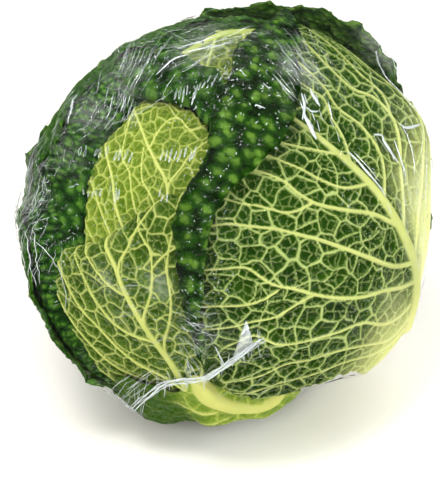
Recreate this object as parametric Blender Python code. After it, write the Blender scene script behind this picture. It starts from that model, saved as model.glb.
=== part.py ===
"""Savoy cabbage, one head wrapped in clear stretch film.

A round tight head of about 180 mm lies on its shoulder with the cut stem
low at the back right. The head is a ball of tightly folded heart leaves, three pale
heart leaves on it, six dark wrapper leaves round those, the cut stem, and
the film pulled tight over everything.

Every leaf is drawn flat, as an outline round its own middle point, and is
then laid on the ball: the leaf's plane is wrapped on the sphere, with its
stalk running to the stem. `off` is how far the leaf stands off the heart ball, so
leaves that lie over each other never touch.

Blender 4.5, metres, +Z up. The origin is on the surface it rests on, in
the middle of the head's box.
"""
import bpy
import bmesh
import math
import numpy as np
from mathutils import Vector

# ---------------------------------------------------------------- dimensions
MM = 0.001
HEART_RADIUS = 66.0            # ball of folded heart leaves
WRAP_RADIUS = 80.0             # leaf planes are wrapped on arcs of this radius
HEAD_HEIGHT = 86.0             # middle of the head above the table
HEAD_X, HEAD_Y = -6.17, -0.66      # middle of the head, so that the box is centred
STEM_DIR = (0.50, 0.33, -0.80) # from the middle of the head to the cut stem
BLADE = 1.0                    # leaf blade thickness
PRESS = 24.0                   # how far the underside is pressed flat
STEM_RADIUS = 15.0
STEM_INNER, STEM_OUTER = 67.0, 86.5
FILM_GAP = 1.0                 # film stands clear of the leaves
FILM = 0.4                     # film layer, several turns of stretch film
FILM_OPENING = 13.0            # degrees round the stem where the film ends
FILM_ROWS, FILM_COLS = 18, 40


def unit(v):
    v = np.asarray(v, float)
    return v / np.linalg.norm(v)


STEM = unit(STEM_DIR)
TOP = -STEM
CENTRE = np.array([HEAD_X, HEAD_Y, HEAD_HEIGHT])
# directions round the stem axis: 0 degrees faces the front
_front = np.array([0.0, -0.883, 0.469])
AX1 = unit(_front - (_front @ STEM) * STEM)
AX2 = np.cross(STEM, AX1)


def around(az, dist):
    """Direction at az degrees round the stem axis, dist degrees from the stem."""
    a, d = math.radians(az), math.radians(dist)
    return STEM * math.cos(d) + math.sin(d) * (AX1 * math.cos(a) + AX2 * math.sin(a))


def smooth(a, b, x):
    t = np.clip((x - a) / (b - a), 0, 1)
    return t * t * (3 - 2 * t)


def leaf_frame(d, v):
    d = unit(d)
    v = unit(np.asarray(v, float) - (np.asarray(v, float) @ d) * d)
    return d, np.cross(v, d), v


def to_plane(frame, d):
    a = math.acos(max(-1.0, min(1.0, float(d @ frame[0]))))
    s = np.array([d @ frame[1], d @ frame[2]])
    return s / max(np.linalg.norm(s), 1e-9) * a * WRAP_RADIUS


def on_ball(frame, x, y):
    r = np.hypot(x, y)
    a = r / WRAP_RADIUS
    s = np.where(r < 1e-9, 1 / WRAP_RADIUS, np.sin(a) / np.maximum(r, 1e-9))
    return (frame[0] * np.cos(a)[..., None] + frame[1] * (x * s)[..., None]
            + frame[2] * (y * s)[..., None])


def around_curve(points, q):
    """Smooth closed curve through (angle, value) points, read at angles q."""
    pts = sorted((a % 360.0, v) for a, v in points)
    a = np.array([p[0] for p in pts])
    v = np.array([p[1] for p in pts], float)
    a = np.concatenate([a[-2:] - 360, a, a[:2] + 360])
    v = np.concatenate([v[-2:], v, v[:2]])
    d = np.diff(v) / np.diff(a)
    m = np.zeros(len(a))
    h0, h1 = np.diff(a)[:-1], np.diff(a)[1:]
    m[1:-1] = (d[:-1] * h1 + d[1:] * h0) / (h0 + h1)
    q = np.asarray(q, float) % 360.0
    k = np.clip(np.searchsorted(a, q, side='right') - 1, 1, len(a) - 3)
    h = a[k + 1] - a[k]
    t = (q - a[k]) / h
    return ((2 * t**3 - 3 * t**2 + 1) * v[k] + (t**3 - 2 * t**2 + t) * h * m[k]
            + (-2 * t**3 + 3 * t**2) * v[k + 1] + (t**3 - t**2) * h * m[k + 1])


def place(d, o):
    """Point in direction d, o mm off the heart ball, pressed flat underneath."""
    p = d * (HEART_RADIUS + o)[..., None] + CENTRE
    lift = PRESS - o
    k = 2.0
    s = (p[..., 2] - lift) / k
    p[..., 2] = np.where(s > 30, p[..., 2], lift + k * np.log1p(np.exp(np.clip(s, -30, 30))))
    return p


# -------------------------------------------------------------------- leaves
# d: middle of the leaf, v: its up direction, outline: margin points in mm in
# the leaf plane (x to the right, y up, seen from outside), off: mm off the
# heart ball, rib: how far the midrib stands out at the base
def margin_lift(points, power):
    return lambda f, q: around_curve(points, q) * f ** power


FRONT_TUCK = margin_lift([(0, 0), (60, -1.5), (90, -3.5), (120, -4), (150, -4), (180, -3.5),
                          (210, -2.5), (240, 0), (300, 0)], 4)
LEFT_FLARE = margin_lift([(-50, 0), (-30, 3), (-10, 5.5), (10, 7.5), (40, 8.5), (75, 7), (100, 2.5), (125, 0),
                          (200, 0), (270, 0)], 3)
REAR_FLARE = margin_lift([(20, 0), (45, 5), (62, 9.5), (85, 10), (112, 10), (132, 9), (148, 7), (165, 1),
                          (200, 0), (290, 0)], 4)
BACK_FLARE = margin_lift([(60, 0), (80, 1), (100, 4.5), (120, 9.5), (145, 10.5), (175, 9), (200, 6),
                          (225, 2), (270, 0), (340, 0), (20, 0)], 3)

LEAVES = [
    # pale heart leaves
    dict(name='heart_leaf_left', d=around(50, 140), v=TOP, rib=0.3, rings=9, spokes=28, colour=(0.33, 0.47, 0.09),
         stalk=False,
         outline=[(58, 8), (52, 34), (34, 52), (8, 58), (-20, 54), (-42, 38), (-52, 12), (-50, -24),
                  (-44, -58), (-22, -88), (8, -96), (34, -84), (52, -52), (58, -20)],
         off=lambda x, y, f, q: 1.9 + 0 * x),
    dict(name='heart_leaf_front', d=around(20, 156), v=(-0.246, 0.721, 0.648), rib=0.6, rings=9, spokes=28,
         colour=(0.42, 0.56, 0.12),
         stalk=False,
         outline=[(40, -8), (36, 10), (28, 24), (18, 38), (6, 44), (-8, 42), (-24, 32), (-38, 18),
                  (-48, -2), (-54, -28), (-50, -60), (-28, -88), (6, -98), (36, -84), (50, -50)],
         off=lambda x, y, f, q: 4.2 + 0 * x),
    dict(name='heart_leaf_top', d=around(-95, 150), v=TOP, rib=0.5, stalk=False, rings=8, spokes=28,
         colour=(0.12, 0.30, 0.05),
         outline=[(22, 38), (2, 46), (-18, 40), (-34, 27), (-47, 4), (-52, -30), (-42, -66),
                  (-12, -88), (24, -80), (44, -44), (44, 2), (38, 24)],
         roll=[(30, 2), (50, 12), (75, 20), (100, 22), (125, 18), (145, 8), (165, 0), (250, 0), (340, 0)],
         roll_r=2.4, off=lambda x, y, f, q: 6.4 + 0 * x),
    # dark wrapper leaves
    dict(name='wrapper_leaf_rear', d=around(-172, 95), v=TOP, rib=1.0, colour=(0.03, 0.13, 0.03),
         outline=[(84, 40), (82, 70), (62, 94), (40, 108), (14, 106), (-12, 102), (-40, 93), (-66, 73),
                  (-90, 52), (-94, 14), (-78, -30), (-46, -66), (-10, -78), (30, -76), (62, -50), (80, -8)],
         off=lambda x, y, f, q: 8.9 + REAR_FLARE(f, q)),
    dict(name='wrapper_leaf_front', d=(-0.15, -0.90, -0.40), v=(-0.475, 0.287, 0.832), rib=1.6,
         colour=(0.20, 0.32, 0.08),
         outline=[(-43, 66), (-22, 70), (0, 70), (22, 72), (42, 70), (56, 58), (62, 34), (60, 6),
                  (48, -26), (24, -50), (-14, -56), (-40, -38), (-51, -8), (-47, 22), (-46, 48)],
         off=lambda x, y, f, q: 11.3 + FRONT_TUCK(f, q)),
    dict(name='wrapper_leaf_left', d=around(118, 80), v=TOP, rib=1.4, colour=(0.03, 0.15, 0.03),
         outline=[(62, 8), (58, 32), (48, 54), (36, 76), (14, 84), (-14, 84), (-44, 72), (-66, 46),
                  (-76, 12), (-66, -24), (-38, -48), (6, -56), (50, -52), (78, -30), (72, -10)],
         off=lambda x, y, f, q: 13.8 + LEFT_FLARE(f, q)),
    dict(name='wrapper_leaf_right', d=(0.726, -0.607, 0.323), v=(-0.476, -0.104, 0.873), rib=3.0,
         colour=(0.06, 0.16, 0.03),
         outline=[(-16, -72), (-40, -57), (-58, -54), (-74, -48), (-86, -36), (-92, -14), (-92, 8),
                  (-88, 32), (-76, 54), (-57, 71), (-32, 83), (-6, 91), (12, 99), (33, 101), (52, 91),
                  (66, 73), (76, 57), (83, 36), (84, 10), (78, -28), (55, -58), (25, -80)],
         roll=[(36, 0), (48, 10), (60, 23), (72, 26), (85, 26), (100, 26), (120, 25), (140, 23), (155, 19),
               (168, 13), (180, 8), (195, 3), (212, 0), (270, 0), (330, 0), (10, 0)],
         roll_r=3.4,
         off=lambda x, y, f, q: 18.6 - 5.6 * smooth(0, 58, -.45 * x + .78 * y)),
    dict(name='wrapper_leaf_back', d=around(-112, 75), v=TOP, rib=1.6, colour=(0.04, 0.17, 0.03),
         outline=[(8, 60), (-9, 56), (-23, 47), (-36, 34), (-48, 18), (-60, 0), (-74, -26), (-60, -52),
                  (-20, -62), (30, -60), (64, -36), (76, 2), (70, 34), (52, 54), (30, 62)],
         off=lambda x, y, f, q: 21.0 + BACK_FLARE(f, q)),
    dict(name='wrapper_leaf_under', d=around(62, 45), v=TOP, rib=0.3, gap=19, colour=(0.16, 0.30, 0.06),
         outline=[(45, 6), (43, 26), (32, 42), (12, 52), (-12, 54), (-36, 44), (-50, 22), (-52, -4),
                  (-40, -26), (-16, -34), (14, -34), (34, -20)],
         off=lambda x, y, f, q: 22.6 + 0 * x),
]


def stalk_outline(leaf, frame):
    """Distance from the leaf's middle to its margin, with the stalk drawn out."""
    pts = leaf['outline']
    polar = [(math.degrees(math.atan2(y, x)), math.hypot(x, y)) for x, y in pts]
    s = to_plane(frame, STEM)
    toward = math.degrees(math.atan2(s[1], s[0]))
    end = math.hypot(s[0], s[1]) - leaf.get('gap', 20.0)
    # half the stalk's width at its end, widened where the ball's arcs close in
    shrink = math.sin(end / WRAP_RADIUS) / (end / WRAP_RADIUS)
    half = 13.0 / shrink * 0.9
    near = math.degrees(math.asin(min(0.9, half / end)))
    spread = near + 38.0

    def margin(q):
        b = around_curve(polar, q)
        if not leaf.get('stalk', True):
            return b
        dq = np.abs((np.asarray(q) - toward + 180) % 360 - 180)
        g = (1 - np.clip((dq - near) / (spread - near), 0, 1)) ** 2.3
        return b + (end - b) * g
    return margin, toward, end


def leaf_grid(leaf, rings, folds, spokes):
    """Middle surface of a leaf on rings and spokes, and its plane coordinates."""
    frame = leaf_frame(leaf['d'], leaf['v'])
    margin, toward, end = stalk_outline(leaf, frame)
    t = np.linspace(-1, 1, spokes, endpoint=False)
    q = toward + 180 * np.sign(t) * np.abs(t) ** 1.25
    b = margin(q)
    roll = leaf.get('roll')
    w = np.maximum(around_curve(roll, q), 0) if roll else np.zeros_like(b)
    zone = np.maximum(w, 5.0) if roll else np.zeros_like(b)
    rr = []
    for k in range(1, rings + 1):
        rr.append((b - zone) * (k / rings) ** 0.85)
    if roll:
        for k in range(1, folds + 1):
            rr.append(b - zone + zone * k / folds)
    rr = np.array(rr)
    radius = leaf.get('roll_r', 3.0)
    over = np.maximum(rr - (b - w), 0)
    turn = np.minimum(over / radius, math.pi)
    back = np.maximum(over - math.pi * radius, 0)
    r2 = np.where(over > 0, (b - w) + radius * np.sin(turn) - back, rr)
    rise = np.where(over > 0, radius * (1 - np.cos(turn)), 0)
    c, s = np.cos(np.radians(q)), np.sin(np.radians(q))
    x, y = r2 * c, r2 * s
    f = np.clip(rr / b, 0, 1)
    o = leaf['off'](x, y, f, q + 0 * x) + rise
    pts = place(on_ball(frame, x, y), o)
    mid_o = leaf['off'](np.zeros(1), np.zeros(1), np.zeros(1), np.zeros(1))
    centre = place(on_ball(frame, np.zeros(1), np.zeros(1)), mid_o)[0]
    # rib: distance from the line that runs from the stalk through the middle
    tx, ty = math.cos(math.radians(toward)), math.sin(math.radians(toward))
    along = x * tx + y * ty
    across = np.abs(x * ty - y * tx)
    rib = leaf['rib'] * np.exp(-(across / 7.0) ** 2) * smooth(-60, end, along + 0 * x) * (over == 0)
    return pts, centre, rib


def leaf_mesh(leaf):
    rings = leaf.get('rings', 7)
    spokes = leaf.get('spokes', 34)
    folds = 6 if leaf.get('roll') else 0
    p, c, rib = leaf_grid(leaf, rings, folds, spokes)
    n, m = p.shape[:2]
    # surface normals, outward at the middle of the leaf
    full = np.concatenate([np.repeat(c[None, None], m, 1), p], 0)
    dr = np.empty_like(p)
    dr[:-1] = full[2:] - full[:-2]
    dr[-1] = full[-1] - full[-2]
    dq = np.roll(p, -1, 1) - np.roll(p, 1, 1)
    nor = np.cross(dr, dq)
    nor /= np.linalg.norm(nor, axis=2, keepdims=True)
    cn = nor[0].mean(0)
    cn /= np.linalg.norm(cn)
    out_sign = 1.0 if cn @ (c - CENTRE) > 0 else -1.0
    nor, cn = nor * out_sign, cn * out_sign
    outer = p + nor * (BLADE / 2 + rib)[..., None]
    inner = p - nor * (BLADE / 2)
    bm = bmesh.new()
    vo = [[bm.verts.new(outer[i, j] * MM) for j in range(m)] for i in range(n)]
    vi = [[bm.verts.new(inner[i, j] * MM) for j in range(m)] for i in range(n)]
    co = bm.verts.new((c + cn * BLADE / 2) * MM)
    ci = bm.verts.new((c - cn * BLADE / 2) * MM)
    for j in range(m):
        k = (j + 1) % m
        bm.faces.new((co, vo[0][j], vo[0][k]))
        bm.faces.new((ci, vi[0][k], vi[0][j]))
        for i in range(n - 1):
            bm.faces.new((vo[i][j], vo[i + 1][j], vo[i + 1][k], vo[i][k]))
            bm.faces.new((vi[i][j], vi[i][k], vi[i + 1][k], vi[i + 1][j]))
        bm.faces.new((vo[n - 1][j], vi[n - 1][j], vi[n - 1][k], vo[n - 1][k]))
    return bm


# ------------------------------------------------------------------- objects
def material(name, colour, roughness, metallic=0.0, alpha=1.0):
    mat = bpy.data.materials.new(name)
    mat.use_nodes = True
    bsdf = mat.node_tree.nodes['Principled BSDF']
    bsdf.inputs['Base Color'].default_value = (*colour, 1.0)
    bsdf.inputs['Roughness'].default_value = roughness
    bsdf.inputs['Metallic'].default_value = metallic
    bsdf.inputs['Alpha'].default_value = alpha
    return mat


def add_object(name, bm, mat):
    bmesh.ops.recalc_face_normals(bm, faces=bm.faces)
    bmesh.ops.triangulate(bm, faces=bm.faces)
    mesh = bpy.data.meshes.new(name)
    bm.to_mesh(mesh)
    bm.free()
    mesh.shade_smooth()
    mesh.materials.append(mat)
    obj = bpy.data.objects.new(name, mesh)
    bpy.context.collection.objects.link(obj)
    return obj


def heart():
    """Ball of tightly folded leaves, pressed flat underneath."""
    bm = bmesh.new()
    bmesh.ops.create_icosphere(bm, subdivisions=3, radius=1.0)
    for v in bm.verts:
        d = unit(v.co)
        v.co = Vector(place(d[None], np.zeros(1))[0] * MM)
    return add_object('heart', bm, material('heart_pale_green', (0.45, 0.58, 0.16), 0.5))


def stem():
    """Cut stump, a tapered round that stands on the base of the head."""
    bm = bmesh.new()
    side = unit(np.cross(STEM, (0.0, 1.0, 0.0)))
    other = np.cross(STEM, side)
    rows = []
    for r, radius in ((STEM_INNER, STEM_RADIUS * 0.9), (STEM_INNER + 8, STEM_RADIUS),
                      (STEM_OUTER - 1.2, STEM_RADIUS), (STEM_OUTER, STEM_RADIUS - 1.2)):
        rows.append([bm.verts.new((CENTRE + STEM * r + radius * (side * math.cos(a) + other * math.sin(a))) * MM)
                     for a in (2 * math.pi * k / 28 for k in range(28))])
    for lo, hi in zip(rows[:-1], rows[1:]):
        for k in range(28):
            n = (k + 1) % 28
            bm.faces.new((lo[k], lo[n], hi[n], hi[k]))
    bm.faces.new(rows[0])
    bm.faces.new(rows[-1])
    return add_object('stem', bm, material('cut_stem', (0.70, 0.68, 0.42), 0.6))


def film(contents):
    """Film pulled tight: the hull of everything inside, with an opening at the stem."""
    inside = []
    for obj in contents:
        co = np.array([tuple(v.co) for v in obj.data.vertices]) / MM - CENTRE
        ends = np.array([tuple(e.vertices) for e in obj.data.edges])
        inside.append(co)
        for t in (0.25, 0.5, 0.75):
            inside.append(co[ends[:, 0]] * (1 - t) + co[ends[:, 1]] * t)
    inside = np.concatenate(inside)
    rho = np.linalg.norm(inside, axis=1)
    bm = bmesh.new()
    verts = [bm.verts.new(p) for p in inside[rho > 74]]
    bmesh.ops.convex_hull(bm, input=verts)
    normals = []
    for f in bm.faces:
        p = [np.array(v.co) for v in f.verts]
        n = np.cross(p[1] - p[0], p[2] - p[0])
        size = np.linalg.norm(n)
        if size > 0.5:
            n = n / size
            normals.append(n if n @ p[0] > 0 else -n)
    bm.free()
    normals = np.array(normals)
    # each plane is moved out until everything is behind it
    planes = np.column_stack([normals, (inside @ normals.T).max(0)])

    rows = np.linspace(FILM_OPENING, 180, FILM_ROWS + 1)[:-1]
    cols = np.arange(FILM_COLS) * 360.0 / FILM_COLS
    dirs = np.array([[around(c, r) for c in cols] for r in rows])
    pole = around(0, 180)
    all_dirs = np.concatenate([dirs.reshape(-1, 3), pole[None]])
    cosang = all_dirs @ planes[:, :3].T
    reach = np.where(cosang > 1e-6, planes[:, 3] / np.maximum(cosang, 1e-6), 1e9).min(1)
    # raise the film wherever a leaf would come closer than the gap
    R = reach[:-1].reshape(FILM_ROWS, FILM_COLS)
    top = reach[-1]
    close = np.array([(planes[:, 3] - planes[:, :3] @ p).min() < 4.0 for p in inside])
    inside, rho = inside[close], rho[close]
    az = (np.degrees(np.arctan2(inside @ AX2, inside @ AX1))) % 360.0
    di = np.degrees(np.arccos(np.clip(inside @ STEM / rho, -1, 1)))
    step = (180 - FILM_OPENING) / FILM_ROWS
    row = np.floor((di - FILM_OPENING) / step).astype(int)
    col = (az / (360.0 / FILM_COLS)).astype(int) % FILM_COLS
    d = inside / rho[:, None]
    for _ in range(30):
        worst = 0.0
        lift = np.zeros_like(R)
        up = 0.0
        for near in (-1, 0, 1):
            i = row + near
            for kind in (0, 1):
                ok = (i >= 0) & (i < FILM_ROWS - (0 if kind == 0 else 1))
                ii, jj, dd, rr = i[ok], col[ok], d[ok], rho[ok]
                kk = (jj + 1) % FILM_COLS
                last = ii + 1 >= FILM_ROWS
                i1 = np.minimum(ii + 1, FILM_ROWS - 1)
                a = dirs[ii, jj] * R[ii, jj][:, None]
                if kind == 0:
                    b = np.where(last[:, None], pole * top, dirs[i1, jj] * R[i1, jj][:, None])
                    c = np.where(last[:, None], dirs[ii, kk] * R[ii, kk][:, None],
                                 dirs[i1, kk] * R[i1, kk][:, None])
                else:
                    b = dirs[i1, kk] * R[i1, kk][:, None]
                    c = dirs[ii, kk] * R[ii, kk][:, None]
                w = np.linalg.solve(np.stack([a, b, c], 2), dd[..., None])[..., 0]
                inside_tri = (w > -1e-4).all(1)
                lack = np.where(inside_tri, rr - 1 / w.sum(1), 0.0)
                bad = lack > 0.02
                if bad.any():
                    worst = max(worst, lack[bad].max())
                    for p, q_, n_, last_, e in zip(ii[bad], jj[bad], kk[bad], last[bad], lack[bad]):
                        corners = [(p, q_), (p, n_)]
                        if last_:
                            up = max(up, e * 0.7)
                        else:
                            corners += [(p + 1, q_), (p + 1, n_)]
                        for t in corners:
                            lift[t] = max(lift[t], e * 0.7)
        R = R + lift
        top += up
        if worst < 0.05:
            break

    def skin(gap, floor):
        p = dirs * (R + gap)[..., None] + CENTRE
        low = p[..., 2] < floor
        scale = (floor - CENTRE[2]) / np.where(low, p[..., 2] - CENTRE[2], 1.0)
        p = np.where(low[..., None], CENTRE + (p - CENTRE) * scale[..., None], p)
        return p * MM, (pole * (top + gap) + CENTRE) * MM

    out, out_top = skin(FILM_GAP + FILM, 0.0)
    inn, in_top = skin(FILM_GAP, FILM)
    bm = bmesh.new()
    vo = [[bm.verts.new(v) for v in row] for row in out]
    vi = [[bm.verts.new(v) for v in row] for row in inn]
    to, ti = bm.verts.new(out_top), bm.verts.new(in_top)
    for j in range(FILM_COLS):
        k = (j + 1) % FILM_COLS
        for i in range(FILM_ROWS - 1):
            for v, flip in ((vo, False), (vi, True)):
                a, b, c, d = v[i][j], v[i + 1][j], v[i + 1][k], v[i][k]
                for t in ((a, b, c), (a, c, d)):
                    bm.faces.new(t[::-1] if flip else t)
        bm.faces.new((vo[-1][j], to, vo[-1][k]))
        bm.faces.new((vi[-1][k], ti, vi[-1][j]))
        bm.faces.new((vo[0][k], vi[0][k], vi[0][j], vo[0][j]))
    return add_object('film_wrap', bm, material('clear_film', (0.95, 0.97, 0.96), 0.08, alpha=0.2))


def main():
    for obj in list(bpy.data.objects):
        bpy.data.objects.remove(obj, do_unlink=True)
    parts = [heart(), stem()]
    for leaf in LEAVES:
        parts.append(add_object(leaf['name'], leaf_mesh(leaf),
                                material(leaf['name'] + '_green', leaf['colour'], 0.45)))
    film(parts)


main()
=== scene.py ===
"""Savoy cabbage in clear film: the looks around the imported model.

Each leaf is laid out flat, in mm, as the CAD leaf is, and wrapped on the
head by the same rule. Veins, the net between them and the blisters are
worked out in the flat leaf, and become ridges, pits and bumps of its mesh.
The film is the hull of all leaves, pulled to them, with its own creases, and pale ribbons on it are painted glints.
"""
import bpy
import bmesh
import math
import time
import numpy as np
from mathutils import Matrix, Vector
from mathutils.geometry import delaunay_2d_cdt
from mathutils.kdtree import KDTree


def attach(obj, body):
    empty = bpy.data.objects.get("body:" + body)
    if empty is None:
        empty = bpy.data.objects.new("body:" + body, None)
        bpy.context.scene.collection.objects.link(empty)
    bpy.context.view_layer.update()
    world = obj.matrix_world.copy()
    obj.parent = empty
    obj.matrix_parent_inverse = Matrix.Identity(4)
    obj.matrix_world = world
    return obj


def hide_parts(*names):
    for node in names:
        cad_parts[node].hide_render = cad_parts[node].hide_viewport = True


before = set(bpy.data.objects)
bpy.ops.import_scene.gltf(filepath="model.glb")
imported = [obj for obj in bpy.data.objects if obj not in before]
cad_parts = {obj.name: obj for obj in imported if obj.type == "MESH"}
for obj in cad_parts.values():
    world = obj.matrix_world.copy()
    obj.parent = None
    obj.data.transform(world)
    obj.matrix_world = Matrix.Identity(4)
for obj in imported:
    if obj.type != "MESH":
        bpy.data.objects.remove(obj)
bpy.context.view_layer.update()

T0 = time.time()
MM = 0.001
HEART_RADIUS, WRAP_RADIUS, HEAD_HEIGHT, PRESS = 66.0, 80.0, 86.0, 24.0
HEAD_X, HEAD_Y = -6.17, -0.66
BLADE = 0.9


def unit(v):
    v = np.asarray(v, float)
    return v / np.linalg.norm(v)


STEM = unit((0.50, 0.33, -0.80))
TOP = -STEM
CENTRE = np.array([HEAD_X, HEAD_Y, HEAD_HEIGHT])
_front = np.array([0.0, -0.883, 0.469])
AX1 = unit(_front - (_front @ STEM) * STEM)
AX2 = np.cross(STEM, AX1)
ELEV = math.radians(28)
TO_CAM = np.array([0.0, -math.cos(ELEV), math.sin(ELEV)])
CAM_DIST = 620.0
CAM_UP = np.array([0.0, math.sin(ELEV), math.cos(ELEV)])
FOCAL = 1492.5                 # in widths/440 of the picture


def around(az, dist):
    a, d = math.radians(az), math.radians(dist)
    return STEM * math.cos(d) + math.sin(d) * (AX1 * math.cos(a) + AX2 * math.sin(a))


def smooth(a, b, x):
    t = np.clip((x - a) / (b - a), 0, 1)
    return t * t * (3 - 2 * t)


def leaf_frame(d, v):
    d = unit(d)
    v = unit(np.asarray(v, float) - (np.asarray(v, float) @ d) * d)
    return d, np.cross(v, d), v


def to_plane(fr, d):
    d = np.atleast_2d(d)
    a = np.arccos(np.clip(d @ fr[0], -1, 1))
    x, y = d @ fr[1], d @ fr[2]
    n = np.maximum(np.hypot(x, y), 1e-9)
    return x / n * a * WRAP_RADIUS, y / n * a * WRAP_RADIUS


def on_ball(fr, x, y):
    r = np.hypot(x, y)
    a = r / WRAP_RADIUS
    s = np.where(r < 1e-9, 1 / WRAP_RADIUS, np.sin(a) / np.maximum(r, 1e-9))
    return fr[0] * np.cos(a)[..., None] + fr[1] * (x * s)[..., None] + fr[2] * (y * s)[..., None]


def around_curve(points, q):
    pts = sorted((a % 360.0, v) for a, v in points)
    a = np.array([p[0] for p in pts])
    v = np.array([p[1] for p in pts], float)
    a = np.concatenate([a[-2:] - 360, a, a[:2] + 360])
    v = np.concatenate([v[-2:], v, v[:2]])
    d = np.diff(v) / np.diff(a)
    m = np.zeros(len(a))
    h0, h1 = np.diff(a)[:-1], np.diff(a)[1:]
    m[1:-1] = (d[:-1] * h1 + d[1:] * h0) / (h0 + h1)
    q = np.asarray(q, float) % 360.0
    k = np.clip(np.searchsorted(a, q, side='right') - 1, 1, len(a) - 3)
    h = a[k + 1] - a[k]
    t = (q - a[k]) / h
    return ((2 * t**3 - 3 * t**2 + 1) * v[k] + (t**3 - 2 * t**2 + t) * h * m[k]
            + (-2 * t**3 + 3 * t**2) * v[k + 1] + (t**3 - t**2) * h * m[k + 1])


def place(d, o):
    p = d * (HEART_RADIUS + o)[..., None] + CENTRE
    lift = PRESS - o
    k = 2.0
    s = (p[..., 2] - lift) / k
    p[..., 2] = np.where(s > 30, p[..., 2], lift + k * np.log1p(np.exp(np.clip(s, -30, 30))))
    return p


def at(u, v, radius=87.0):
    """Direction from the head's middle to a spot of the front view, u across and v down in 440ths of its width."""
    o = TO_CAM * CAM_DIST
    r = -TO_CAM + np.array([1.0, 0, 0]) * (u - 221) / FOCAL + CAM_UP * (215 - v) / FOCAL
    r /= np.linalg.norm(r)
    b = o @ r
    disc = b * b - (o @ o - radius * radius)
    p = o + (-b - math.sqrt(max(disc, 0.0))) * r
    return p / np.linalg.norm(p)


# ------------------------------------------------------------------ noise
def value_noise(x, y, size, seed):
    """Smooth noise, -1 to 1, with lumps of the given size in mm."""
    rng = np.random.RandomState(seed)
    tab = rng.uniform(-1, 1, (64, 64))
    gx, gy = x / size + 1000.0, y / size + 1000.0
    ix, iy = np.floor(gx).astype(int), np.floor(gy).astype(int)
    fx, fy = gx - ix, gy - iy
    fx, fy = fx * fx * fx * (fx * (fx * 6 - 15) + 10), fy * fy * fy * (fy * (fy * 6 - 15) + 10)
    i0, i1, j0, j1 = ix % 64, (ix + 1) % 64, iy % 64, (iy + 1) % 64
    return ((tab[i0, j0] * (1 - fx) + tab[i1, j0] * fx) * (1 - fy)
            + (tab[i0, j1] * (1 - fx) + tab[i1, j1] * fx) * fy)


def cells(x, y, size, seed, jitter=0.42, warp=0.12):
    """Distance in mm to the border of the cell a point is in, and a number for the cell."""
    wx = x + warp * size * value_noise(x, y, size * 0.6, seed + 5)
    wy = y + warp * size * value_noise(x, y, size * 0.6, seed + 6)
    rng = np.random.RandomState(seed)
    jx, jy = rng.uniform(-jitter, jitter, (128, 128)), rng.uniform(-jitter, jitter, (128, 128))
    tone = rng.uniform(0, 1, (128, 128))
    row_h = size * 0.866
    gj = np.floor(wy / row_h).astype(int)
    best = np.full(x.shape, 1e9)
    sx, sy, sk = np.zeros_like(x), np.zeros_like(x), np.zeros_like(x)
    cand = []
    for dj in (-2, -1, 0, 1, 2):
        j = gj + dj
        gi = np.floor(wx / size - 0.5 * (j % 2)).astype(int)
        for di in (-2, -1, 0, 1, 2):
            i = gi + di
            px = (i + 0.5 + 0.5 * (j % 2) + jx[i % 128, j % 128]) * size
            py = (j + 0.5 + jy[i % 128, j % 128]) * row_h
            cand.append((px, py))
            d = (wx - px) ** 2 + (wy - py) ** 2
            near = d < best
            best = np.where(near, d, best)
            sx, sy = np.where(near, px, sx), np.where(near, py, sy)
            sk = np.where(near, tone[i % 128, j % 128], sk)
    edge = np.full(x.shape, 1e9)
    for px, py in cand:
        dx, dy = px - sx, py - sy
        n = np.hypot(dx, dy)
        e = ((sx + px) / 2 - wx) * dx + ((sy + py) / 2 - wy) * dy
        edge = np.minimum(edge, np.where(n > 1e-6, e / np.maximum(n, 1e-6), 1e9))
    return edge, sk


def fine_curve(pts, step=2.5):
    """Catmull-Rom curve through the points of a vein."""
    p = np.array(pts, float)
    if len(p) < 3:
        return p
    p = np.vstack([2 * p[0] - p[1], p, 2 * p[-1] - p[-2]])
    out = []
    for k in range(1, len(p) - 2):
        n = max(1, int(np.linalg.norm(p[k + 1] - p[k]) / step))
        for t in np.arange(n) / n:
            out.append(0.5 * (2 * p[k] + (p[k + 1] - p[k - 1]) * t
                              + (2 * p[k - 1] - 5 * p[k] + 4 * p[k + 1] - p[k + 2]) * t**2
                              + (3 * p[k] - p[k - 1] - 3 * p[k + 1] + p[k + 2]) * t**3))
    out.append(p[-2])
    return np.array(out)


# ----------------------------------------------------------------- leaves
def margin_lift(points, power):
    return lambda f, q: around_curve(points, q) * f ** power


FRONT_TUCK = margin_lift([(0, 0), (60, -0.5), (90, -1.5), (120, -2), (150, -1.5), (180, -0.5),
                          (210, -0.5), (240, 0), (300, 0)], 4)
LEFT_FLARE = margin_lift([(-50, 0), (-30, 3), (-10, 5.5), (10, 7.5), (40, 8.5), (75, 8), (95, 6), (110, 3),
                          (130, 0), (200, 0), (270, 0)], 2.2)
REAR_FLARE = margin_lift([(20, 0), (45, 5), (62, 9.5), (85, 10), (112, 10), (132, 9), (148, 7),
                          (165, 1), (200, 0), (290, 0)], 2.4)
BACK_FLARE = margin_lift([(60, 0), (80, 1.5), (100, 5), (120, 9), (140, 9), (152, 6.5), (165, 4.5), (178, 3.5), (192, 2),
                          (205, 0.8), (225, 0.6), (250, 0.6), (270, 0), (340, 0), (20, 0)], 2)

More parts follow.
